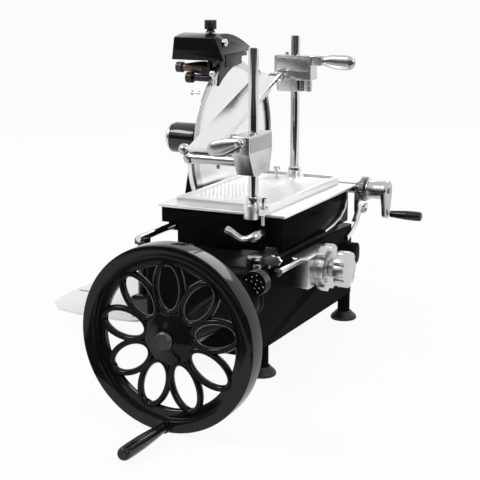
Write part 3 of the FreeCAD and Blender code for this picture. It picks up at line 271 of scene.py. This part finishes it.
def lathe(name, axis, centre, profile, body, material, segments=64, soft=0.6, closed=True):
    # Turns an outline of (place along the axis, radius) pairs about the axis
    outline = softened(profile, soft, closed)
    bm = bmesh.new()
    rings = []
    for t, r in outline:
        ring = []
        for i in range(segments):
            angle = 2 * math.pi * i / segments
            ring.append(bm.verts.new(placed(axis, t, centre[0] + r * math.cos(angle),
                                            centre[1] + r * math.sin(angle))))
        rings.append(ring)
    pairs = list(zip(rings, rings[1:])) + ([(rings[-1], rings[0])] if closed else [])
    for low, high in pairs:
        for i in range(segments):
            j = (i + 1) % segments
            bm.faces.new((low[i], low[j], high[j], high[i]))
    if not closed:
        bm.faces.new(rings[0][::-1])
        bm.faces.new(rings[-1])
    return finish_mesh(name, bm, body, material)


def slab(name, axis, outline, start, stop, body, material, soft=2.0, edge=1.0):
    # A flat outline with rounded corners, given depth and rounded rims
    flat = softened(outline, soft)
    bm = bmesh.new()
    low = [bm.verts.new(placed(axis, start, u, v)) for u, v in flat]
    high = [bm.verts.new(placed(axis, stop, u, v)) for u, v in flat]
    count = len(flat)
    bottom = bm.faces.new(low[::-1])
    top = bm.faces.new(high)
    for i in range(count):
        j = (i + 1) % count
        bm.faces.new((low[i], low[j], high[j], high[i]))
    if edge:
        rims = list(bottom.edges) + list(top.edges)
        bmesh.ops.bevel(bm, geom=rims, offset=edge * MM, segments=2, affect="EDGES", profile=0.5)
    return finish_mesh(name, bm, body, material)


def sweep(name, path, sizes, body, material, closed=False, sides=14, up=(0, 0, 1)):
    # A round or oval section carried along a path; sizes are (across, along up) pairs
    bm = bmesh.new()
    rings = []
    count = len(path)
    for i in range(count):
        here = V(path[i])
        if closed:
            run = V(path[(i + 1) % count]) - V(path[i - 1])
        else:
            run = V(path[min(i + 1, count - 1)]) - V(path[max(i - 1, 0)])
        run.normalize()
        side = run.cross(V(up)).normalized()
        rise = side.cross(run).normalized()
        wide, tall = sizes[i] if isinstance(sizes, list) else sizes
        ring = []
        for k in range(sides):
            angle = 2 * math.pi * k / sides
            around = side * wide * math.cos(angle) + rise * tall * math.sin(angle)
            ring.append(bm.verts.new((here + around) * MM))
        rings.append(ring)
    pairs = list(zip(rings, rings[1:])) + ([(rings[-1], rings[0])] if closed else [])
    for low, high in pairs:
        for k in range(sides):
            m = (k + 1) % sides
            bm.faces.new((low[k], low[m], high[m], high[k]))
    if not closed:
        bm.faces.new(rings[0][::-1])
        bm.faces.new(rings[-1])
    return finish_mesh(name, bm, body, material, 50.0)


def curve_through(points, steps=6):
    # Smooth path through the given points, each point being any row of numbers
    out = []
    count = len(points)
    for i in range(count - 1):
        a = points[max(i - 1, 0)]
        b, c = points[i], points[i + 1]
        d = points[min(i + 2, count - 1)]
        for k in range(steps):
            t = k / steps
            row = []
            for p, q, r, s in zip(a, b, c, d):
                row.append(0.5 * (2 * q + (r - p) * t + (2 * p - 5 * q + 4 * r - s) * t * t
                                  + (3 * q - p - 3 * r + s) * t * t * t))
            out.append(tuple(row))
    out.append(tuple(points[-1]))
    return out


def paddle(name, stations, body, material, up):
    # Smooth lever: rows of x, y, z, half width and half depth, closed by round ends
    rows = curve_through(stations, 5)
    path = [row[:3] for row in rows]
    sizes = [(row[3], row[4]) for row in rows]
    start, stop = V(path[0]) - V(path[1]), V(path[-1]) - V(path[-2])
    start.normalize()
    stop.normalize()
    for k in (1, 2, 3, 4):
        angle = math.pi / 2 * k / 4.2
        reach, shrink = math.sin(angle), math.cos(angle)
        path.insert(0, tuple(V(rows[0][:3]) + start * rows[0][3] * reach))
        sizes.insert(0, (rows[0][3] * shrink, rows[0][4] * shrink))
        path.append(tuple(V(rows[-1][:3]) + stop * rows[-1][3] * reach))
        sizes.append((rows[-1][3] * shrink, rows[-1][4] * shrink))
    return sweep(name, path, sizes, body, material, sides=24, up=up)


def rounded(name, width, material=None, segments=2, angle=38.0, least=3.0):
    # The same form as a part's node with its sharp edges rounded over
    source = NODES[name]
    bm = bmesh.new()
    bm.from_mesh(source.data)
    bmesh.ops.remove_doubles(bm, verts=bm.verts, dist=1e-5)
    bmesh.ops.dissolve_limit(bm, angle_limit=math.radians(0.8), verts=bm.verts, edges=bm.edges)
    sharp = []
    for edge in bm.edges:
        if len(edge.link_faces) != 2 or edge.calc_face_angle(0.0) < math.radians(angle):
            continue
        if min(face.calc_area() for face in edge.link_faces) < least * MM * MM:
            continue
        sharp.append(edge)
    bmesh.ops.bevel(bm, geom=sharp, offset=width * MM, segments=segments, affect="EDGES",
                    profile=0.5, clamp_overlap=True)
    piece = finish_mesh("soft_" + name, bm, BODY_OF[name], material or source.data.materials[0])
    piece.matrix_world = source.matrix_world.copy()
    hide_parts(name)
    return piece


# Flywheel
WHEEL = (84.0, 160.0)
WHEEL_FRONT = -545.0
WHEEL_BOSS_BACK = -501.0
PETALS = 9
PETAL_STEPS = 56
PETAL_PLACE = 83.5
PETAL_HALF_LENGTH = 41.3
PETAL_HALF_WIDTH = 24.1


def flywheel():
    front = WHEEL_FRONT
    rim = lathe("wheel_rim", "y", WHEEL,
                [(front, 136), (front, 154.6), (front + 1.6, 156), (front + 34.4, 156),
                 (front + 36, 154.6), (front + 36, 137), (front + 26, 135), (front + 24, 122),
                 (front + 22, 120), (front + 13, 120), (front + 11, 122), (front + 11, 134),
                 (front + 3, 135)], "drive_wheel", RIM_BLACK, 160, 1.0)
    middle = front + 16
    for i in range(PETALS):
        turn = math.radians(90 + 360 / PETALS * i)
        path = []
        for k in range(PETAL_STEPS):
            a = 2 * math.pi * k / PETAL_STEPS
            along = PETAL_PLACE + PETAL_HALF_LENGTH * math.cos(a)
            across = PETAL_HALF_WIDTH * math.sin(a)
            path.append((WHEEL[0] + along * math.cos(turn) - across * math.sin(turn), middle,
                         WHEEL[1] + along * math.sin(turn) + across * math.cos(turn)))
        sweep("wheel_petal_%d" % i, path, (5.3, 7.2), "drive_wheel", WHEEL_BLACK, closed=True,
              sides=16, up=(0, 1, 0))
    lathe("wheel_hub", "y", WHEEL,
          [(front + 26, 12), (front + 26, 36), (front + 21, 46), (front + 13, 48), (front + 9, 40),
           (front + 5.5, 30), (front + 2, 22), (front, 17), (front, 12)], "drive_wheel",
          WHEEL_BLACK, 96, 5.0)
    lathe("wheel_boss", "y", WHEEL,
          [(front + 24, 11), (front + 24, 23), (WHEEL_BOSS_BACK - 2, 22), (WHEEL_BOSS_BACK, 20),
           (WHEEL_BOSS_BACK, 11)], "drive_wheel", WHEEL_BLACK, 64, 1.0)
    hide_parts("flywheel")
    lathe("wheel_button", "y", WHEEL,
          [(front - 0.5, 0.5), (front - 0.5, 16), (front - 5, 15.6), (front - 9.6, 11),
           (front - 10, 0.5)], "drive_wheel", WORN, 48, 1.6)


flywheel()


GRIP_DROP = 144.0
CRANK_GRIP = (276.0, 221.0)


def wheel_grip():
    near, far = -553.6, -681.7
    grip = lathe("turned_grip", "y", (WHEEL[0], WHEEL[1] - GRIP_DROP),
                 [(near, 4.7), (near, 7.8), (near - 6, 8.2), (near - 34, 9.9), (near - 70, 11.6),
                  (far + 22, 11.8), (far + 5, 11.2), (far, 8.5), (far, 0.4), (far + 1.5, 0.4),
                  (far + 4.1, 4.7)], "wheel_grip", PLASTIC, 48, 4.0)
    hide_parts("flywheel_grip")


wheel_grip()


def crank_grip():
    near, far = 169.6, 238.3
    grip = lathe("crank_grip", "x", CRANK_GRIP,
                 [(near, 4.3), (near, 7.2), (near + 6, 7.4), (near + 36, 9.9), (far - 12, 10.2),
                  (far - 3, 9.8), (far, 7.5), (far, 0.4), (far - 1.5, 0.4), (far - 5, 4.3)],
                 "feed_handle", PLASTIC, 48, 3.0)
    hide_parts("feed_grip")


crank_grip()


# Feet with a bell shape
FOOT_X = 95.0
FOOT_Y = 205.0


def feet():
    first = None
    for sx in (-1, 1):
        for sy in (-1, 1):
            foot = lathe("foot_%d_%d" % (sx + 1, sy + 1), "z", (sx * FOOT_X, sy * FOOT_Y),
                         [(0, 4.2), (0, 26.5), (2.5, 27.8), (6, 27.4), (10, 24.5), (14, 19.5),
                          (18, 16.6), (18, 4.2)], "base", RUBBER, 56, 1.2)
            first = first or foot
    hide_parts("rubber_feet")


feet()

# Blade disc with its ground band
BLADE = (246.0, 357.0)


def blade():
    disc = lathe("blade_disc", "x", BLADE,
                 [(-191.7, 9.2), (-191.7, 161), (-188.4, 160.4), (-188.3, 9.2)], "cutting_blade",
                 BLADE_STEEL, 160, 0.2)
    lathe("blade_band", "x", BLADE,
          [(-191.7, 160), (-191.7, 177.6), (-190.4, 177.9), (-188.5, 161), (-188.5, 160)],
          "cutting_blade", BEVEL_STEEL, 160, 0.1)
    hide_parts("blade")


blade()

# Slice tray with wide round corners on the left, white as a painted reflection, and a narrow slot
# as a dark strip of painted shade
tray = slab("tray_plate", "z", [(-449, -148), (-196, -148), (-196, 170), (-449, 170)], 43, 48,
            "base", TRAY_PAINTED_REFLECTION, [110, 40, 40, 110], 1.2)
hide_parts("slice_tray")
# Dark strip on the tray: painted shade standing for the inside of a narrow slot
slab("tray_slot_painted_shade", "z", [(-437, -4), (-409, -4), (-409, 2), (-437, 2)], 47.6, 48.15, "base", DARK,
     1.5, 0.0)

# Hub drum and its polished cap
drum = lathe("drum_body", "x", BLADE, [(-264, 12), (-264, 34), (-331, 34), (-333, 32), (-333, 12)],
             "base", BLACK, 96, 1.5)
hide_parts("hub_drum")
cap = lathe("drum_cap", "x", BLADE,
            [(-333, 2), (-333, 34), (-338, 33.6), (-341, 29), (-342, 19), (-350, 17.5), (-353, 13),
             (-353, 2)], "base", CHROME, 96, 1.6)
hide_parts("hub_cap")

# Levers, handle and their pins
front_paddle = paddle("front_paddle",
                      [(-21, -167, 408.5, 15.0, 6.4), (-6, -167, 411.5, 16.2, 6.5),
                       (12, -167, 417, 13.6, 6.4), (25, -167, 421, 10.6, 6.3),
                       (31, -167, 422, 9.6, 6.2)], "lever_front", SATIN, (0, 1, 0))
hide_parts("front_lever")
rear_paddle = paddle("rear_paddle",
                     [(20, 236, 541, 7.6, 7.7), (30, 236, 541, 9.5, 7.7),
                      (46, 236, 540.5, 13.6, 7.8), (68, 236, 539.2, 15.2, 7.8),
                      (84, 236, 539.4, 15.0, 7.8)], "lever_rear", SATIN, (0, 1, 0))
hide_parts("rear_lever")


HANDLE_SHAFT = (53.0, 246.0)


def handle():
    rows = curve_through([(-6, -148, 252, 9.4), (2, -148, 249.5, 9.0), (14, -148, 243, 8.0),
                          (28, -148, 237.5, 8.0), (41, -148, 239, 8.8), (50, -145, 243.5, 9.4),
                          (53, -136, 246, 9.4), (53, -118, 246, 9.4)], 6)
    arm = sweep("handle_arm", [row[:3] for row in rows], [(row[3], row[3]) for row in rows],
                "release", SATIN, sides=20, up=(0.2, 0.3, 1))
    lathe("handle_sleeve", "y", HANDLE_SHAFT, [(-118, 5), (-118, 9.2), (-104, 9.2), (-104, 5)],
          "release", DARK, 40, 0.8)
    lathe("handle_rod", "y", HANDLE_SHAFT, [(-119, 0.5), (-119, 5.9), (-98.2, 5.9), (-98.2, 0.5)],
          "release", STEEL, 32, 0.4)
    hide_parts("release_handle")


handle()

# Fittings by the sharpener: cheek plate, brown casting, small polished arm and pin
slab("cheek_plate", "x",
     [(163, 551), (258, 551), (258, 527), (219, 524), (191, 513.6), (167, 501), (146, 486),
      (151, 503), (157, 520)], -178, -172.5, "base", DARK, 4.0, 0.8)
lathe("brown_boss", "x", (200, 519),
      [(-287, 3.7), (-287, 8), (-272, 9.5), (-252, 13), (-232, 15), (-222, 12), (-222, 3.7)],
      "base", BROWN, 40, 3.0)
lathe("arm_ball", "x", (141, 514),
      [(-190, 0.4), (-190, 4), (-187, 7), (-182, 7), (-179, 4), (-179, 0.4)], "base", CHROME, 32,
      3.0)
sweep("arm_stem", [(-184.5, 142, 510), (-184.5, 146, 500), (-184.5, 152, 489)],
      [(2.6, 2.6), (3.0, 2.6), (4.5, 2.4)], "base", CHROME, up=(1, 0, 0))
lathe("side_pin", "x", (98, 477),
      [(-212, 0.4), (-212, 5), (-209, 5), (-208, 2.4), (-196, 2.4), (-195, 4), (-192, 4),
       (-192, 0.4)], "base", CHROME, 24, 0.6)

# Panels and set screws on the front clamp, with a dark sheet on its front face as a painted
# reflection, a stud under the rear clamp
slab("clamp_panel", "x", [(-156, 403), (-63, 403), (-63, 430), (-156, 430)], 46.9, 47.5,
     "clamp_front", PANEL_AND_PAINTED_REFLECTION, 2.0, 0.2)
# Dark sheet on the clamp's front face: a painted reflection of the dark surroundings
slab("clamp_face_painted_reflection", "y", [(14.5, 404), (27, 404), (27, 431), (14.5, 431)], -160.5, -159.9,
     "clamp_front", PANEL_AND_PAINTED_REFLECTION, 1.5, 0.2)
slab("rear_panel", "y", [(-73, 519), (2, 519), (2, 547), (-73, 547)], 218.5, 219.1, "clamp_rear",
     CLAMP, 3.0, 0.2)
for number, (x, z) in enumerate(((16, 392), (20, 378), (24, 365))):
    lathe("clamp_screw_%d" % number, "y", (x + 5, z),
          [(-152 + number * 5, 0.5), (-152 + number * 5, 3.4), (-148 + number * 5, 3.6),
           (-120, 3.6), (-120, 0.5)], "clamp_front", INNER_STEEL, 24, 0.6)
lathe("rear_stud", "z", (-18, 229), [(477, 0.5), (477, 6), (499, 6.4), (500.5, 6.4), (500.5, 0.5)],
      "clamp_rear", INNER_STEEL, 32, 1.0)

# Knurled knob by the gear housing with bright pins, lobed knob by the small column
KNOB = (117, 195)
KNOB_TEETH = 48
KNOB_PINS = 14
PIN_TURN = 2.4
knurl = []
for i in range(2 * KNOB_TEETH):
    angle = math.pi * i / KNOB_TEETH
    reach = 21.6 + 1.4 * (i % 2)
    knurl.append((KNOB[0] + reach * math.cos(angle), KNOB[1] + reach * math.sin(angle)))
slab("knurled_knob", "y", knurl, -284, -262, "base", WHEEL_BLACK, 0.1, 0.4)
for i in range(KNOB_PINS):
    angle = PIN_TURN * i
    reach = 19.0 * math.sqrt((i + 0.5) / KNOB_PINS)
    lathe("knob_pin_%d" % i, "y",
          (KNOB[0] + reach * math.cos(angle), KNOB[1] + reach * math.sin(angle)),
          [(-286, 0.3), (-286, 0.9), (-285, 1.4), (-283, 1.4), (-283, 0.3)], "base", CHROME, 16,
          0.3)
LOBE_STEPS = 60
lobes = []
for i in range(LOBE_STEPS):
    angle = 2 * math.pi * i / LOBE_STEPS
    reach = 1 + 0.09 * math.cos(7 * angle)
    lobes.append((115.5 + 16.2 * reach * math.cos(angle), 218.5 + 9.2 * reach * math.sin(angle)))
slab("lobed_knob", "y", lobes, -204, -197, "base", GREY, 0.5, 1.2)
lathe("knob_stem", "z", (106, -200), [(203.5, 0.5), (203.5, 5), (214, 5), (214, 0.5)], "base",
      INNER_STEEL, 24, 0.4)
slab("stop_block", "z", [(92, -236), (104, -236), (104, -226), (92, -226)], 203.8, 216, "base",
     SATIN, 1.5, 0.8)

# Screw of the sharpener cover and the adjuster rod
screw = lathe("cover_disc", "x", (187, 575),
              [(-183, 0.4), (-183, 8.4), (-176.5, 8.4), (-174, 7.2), (-172.4, 4), (-172, 0.4)],
              "base", CHROME, 40, 1.2)
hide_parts("cover_screw")
ROD = (122.5, 196.0)
rod = lathe("adjuster_shaft", "y", ROD, [(-190, 0.5), (-190, 5.8), (-98, 5.8), (-98, 0.5)], "base",
            CHROME, 32, 0.4)
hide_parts("adjuster_rod")
lathe("adjuster_collar", "y", ROD,
      [(-204, 0.5), (-204, 4.5), (-200, 7.4), (-194, 7.8), (-189, 6.8), (-189, 0.5)], "base", DARK,
      32, 1.6)
slab("adjuster_lug", "y", [(109.5, 189), (122, 190), (122, 202), (109.5, 203)], -201, -193, "base",
     BODY_BLACK, 1.0, 0.8)

# Dark seam beside the table and a small screw in the sheet
slab("seam_line", "z", [(62.4, -104), (64.2, -104), (64.2, 240), (62.4, 240)], 280.6, 281.07,
     "carriage", DARK, 0.4, 0.0)
lathe("sheet_screw", "z", (86, -82),
      [(280.0, 0.4), (280.0, 3), (280.9, 3), (281.05, 2), (281.05, 0.4)], "carriage", CHROME, 24,
      0.3)

# Screws on the lobed flange
DIAL = (-31, 172)
FLANGE_SCREW_REACH = 33
for i in range(3):
    angle = math.radians(100 + 120 * i)
    place = (DIAL[0] + FLANGE_SCREW_REACH * math.cos(angle),
             DIAL[1] + FLANGE_SCREW_REACH * math.sin(angle))
    lathe("flange_screw_%d" % i, "x", place,
          [(157, 0.4), (157, 4.6), (162.2, 4.6), (163, 3.8), (163, 2), (161.6, 1.8), (161.6, 0.4)],
          "base", CHROME, 32, 0.4)

# Softened forms of the machined and cast parts
for name, width in (("base_casting", 2.0), ("base_cover", 0.8), ("bearing_housing", 2.0),
                    ("rail_front_post", 1.6), ("rail_rear_bracket", 1.6), ("blade_column", 2.0),
                    ("column_cover", 1.6), ("blade_guard", 1.6), ("edge_guard", 1.0),
                    ("tray_bars", 0.8), ("carriage_frame", 1.6), ("carriage_sheet", 0.9),
                    ("meat_table", 1.5), ("front_clamp", 1.8), ("rear_clamp", 2.0),
                    ("sharpener_cover", 1.4), ("sharpener_bracket", 1.2), ("top_knob", 0.5),
                    ("feed_housing", 1.0), ("feed_crank", 1.8), ("dial_block", 1.5),
                    ("dial_flange", 1.8), ("thickness_knob", 1.6), ("press_plate", 0.8),
                    ("oiler_cap", 1.2), ("post_collars", 0.8), ("trip_strips", 0.6)):
    rounded(name, width)


# Floor and backdrop
def seen_rays(tree):
    # One for camera, glossy and transmission rays, so that metal shows the white as well
    path = tree.nodes.new("ShaderNodeLightPath")
    seen = tree.nodes.new("ShaderNodeMath")
    seen.operation = "MAXIMUM"
    tree.links.new(path.outputs["Is Camera Ray"], seen.inputs[0])
    tree.links.new(path.outputs["Is Glossy Ray"], seen.inputs[1])
    either = tree.nodes.new("ShaderNodeMath")
    either.operation = "MAXIMUM"
    tree.links.new(seen.outputs["Value"], either.inputs[0])
    tree.links.new(path.outputs["Is Transmission Ray"], either.inputs[1])
    return either.outputs["Value"]


FLOOR_REACH = 30.0
FLOOR_COLOUR = (0.90, 0.90, 0.90, 1)
FLOOR_WHITE_SHARE = 0.93


def floor():
    material, tree, shader = new_material("floor")
    shader.inputs["Roughness"].default_value = 0.9
    shader.inputs["Base Color"].default_value = FLOOR_COLOUR
    # Most of the floor is plain white to those rays, and the rest keeps a soft shadow
    share = tree.nodes.new("ShaderNodeMath")
    share.operation = "MULTIPLY"
    share.inputs[1].default_value = FLOOR_WHITE_SHARE
    tree.links.new(seen_rays(tree), share.inputs[0])
    glow = tree.nodes.new("ShaderNodeEmission")
    glow.inputs["Color"].default_value = (1, 1, 1, 1)
    mix = tree.nodes.new("ShaderNodeMixShader")
    tree.links.new(share.outputs["Value"], mix.inputs["Fac"])
    tree.links.new(shader.outputs["BSDF"], mix.inputs[1])
    tree.links.new(glow.outputs["Emission"], mix.inputs[2])
    tree.links.new(mix.outputs["Shader"], tree.nodes["Material Output"].inputs["Surface"])
    bm = bmesh.new()
    bmesh.ops.create_grid(bm, x_segments=1, y_segments=1, size=FLOOR_REACH)
    linked_object("floor", bm, material)


floor()


# Boards on the floor and a grey wall behind the camera, all out of the picture, give the
# metal its dark bands. Corners are metres ahead of the camera and across to its right.
VIEW_TURN = math.radians(26.2)
VIEW_TILT = math.radians(77.02)
AHEAD = V((-math.sin(VIEW_TURN), math.cos(VIEW_TURN)))
ACROSS = V((math.cos(VIEW_TURN), math.sin(VIEW_TURN)))
CAMERA_PLACE = (1.046, -2.228, 0.771)
BOARD_HEIGHT = 0.003
BOARD_DEPTH = 0.002
WALL_HEIGHT = 2.4
WALL_DEPTH = 2.398


def board(name, corners, material, height=BOARD_HEIGHT, depth=BOARD_DEPTH):
    bm = bmesh.new()
    verts = []
    for ahead, across in corners:
        place = V(CAMERA_PLACE[:2]) + AHEAD * ahead + ACROSS * across
        verts.append(bm.verts.new((place.x, place.y, height)))
    face = bm.faces.new(verts)
    if face.normal.z < 0:
        face.normal_flip()
    out = bmesh.ops.extrude_face_region(bm, geom=[face])
    for vert in out["geom"]:
        if isinstance(vert, bmesh.types.BMVert):
            vert.co.z -= depth
    bmesh.ops.recalc_face_normals(bm, faces=bm.faces)
    linked_object(name, bm, material)


BOARD = enamel("dark_board", (0.010, 0.010, 0.010), (0.016, 0.016, 0.016), 0.8, 0.9, 0.05, 1.3, 0.0)
WALL = enamel("grey_wall", (0.16, 0.16, 0.16), (0.20, 0.20, 0.20), 0.8, 0.9, 0.05, 1.3, 0.0)


def white_to_camera(material):
    # The boards show only in the metal and leave the backdrop white
    tree = material.node_tree
    path = tree.nodes.new("ShaderNodeLightPath")
    glow = tree.nodes.new("ShaderNodeEmission")
    mix = tree.nodes.new("ShaderNodeMixShader")
    tree.links.new(path.outputs["Is Camera Ray"], mix.inputs["Fac"])
    tree.links.new(tree.nodes["Principled BSDF"].outputs["BSDF"], mix.inputs[1])
    tree.links.new(glow.outputs["Emission"], mix.inputs[2])
    tree.links.new(mix.outputs["Shader"], tree.nodes["Material Output"].inputs["Surface"])


white_to_camera(BOARD)
white_to_camera(WALL)
for name, corners in (
    ("board_near", [(-1.2, -3.4), (1.12, -3.4), (1.12, 3.4), (-1.2, 3.4)]),
    ("board_left", [(1.20, -1.06), (1.50, -0.86), (1.50, -0.40), (1.20, -0.30)]),
    ("board_middle", [(1.16, -0.28), (1.55, -0.34), (1.62, 0.34), (1.16, 0.34)]),
    ("board_low", [(1.55, -0.75), (1.95, -0.62), (1.95, -0.42), (1.55, -0.38)]),
):
    board(name, corners, BOARD)
for name, corners in (
    ("board_wall", [(-1.2, -5.5), (-1.2, 5.5), (-1.22, 5.5), (-1.22, -5.5)]),
    ("wing_left", [(-1.2, -5.5), (1.4, -5.5), (1.4, -5.52), (-1.2, -5.52)]),
    ("wing_right", [(-1.2, 5.5), (1.4, 5.5), (1.4, 5.52), (-1.2, 5.52)]),
):
    board(name, corners, WALL, WALL_HEIGHT, WALL_DEPTH)


# Light from the world and three soft lamps
WORLD_LIGHT = 0.5
WORLD_WHITE = 1.0


def world():
    scene_world = bpy.data.worlds.new("studio")
    bpy.context.scene.world = scene_world
    scene_world.use_nodes = True
    tree = scene_world.node_tree
    tree.nodes.clear()
    output = tree.nodes.new("ShaderNodeOutputWorld")
    background = tree.nodes.new("ShaderNodeBackground")
    background.inputs["Color"].default_value = (1, 1, 1, 1)
    # White for the camera and in shiny metal, softer as a light
    strength = tree.nodes.new("ShaderNodeMix")
    strength.data_type = "FLOAT"
    strength.inputs["A"].default_value = WORLD_LIGHT
    strength.inputs["B"].default_value = WORLD_WHITE
    tree.links.new(seen_rays(tree), strength.inputs["Factor"])
    tree.links.new(strength.outputs["Result"], background.inputs["Strength"])
    tree.links.new(background.outputs["Background"], output.inputs["Surface"])


world()


def lamp(name, place, target, size, power):
    data = bpy.data.lights.new(name, "AREA")
    data.shape = "RECTANGLE"
    data.size, data.size_y = size
    data.energy = power
    obj = bpy.data.objects.new(name, data)
    bpy.context.scene.collection.objects.link(obj)
    obj.location = place
    obj.rotation_euler = (V(target) - V(place)).to_track_quat("-Z", "Y").to_euler()


AIM = (0.0, 0.0, 0.25)
lamp("key", (-1.6, -1.4, 2.4), AIM, (1.2, 0.8), 34)
lamp("side", (2.4, -1.0, 1.6), AIM, (0.7, 1.4), 18)
lamp("back", (0.2, 2.4, 2.2), AIM, (2.0, 1.0), 20)


# Camera at the photograph's viewing angle
camera_data = bpy.data.cameras.new("camera")
camera_data.lens = 95.03
camera_data.sensor_width = 36.0
camera_data.clip_end = 60.0
camera = bpy.data.objects.new("camera", camera_data)
bpy.context.scene.collection.objects.link(camera)
camera.location = CAMERA_PLACE
camera.rotation_euler = (VIEW_TILT, 0.0, VIEW_TURN)
bpy.context.scene.camera = camera
bpy.context.scene.view_settings.view_transform = "Standard"
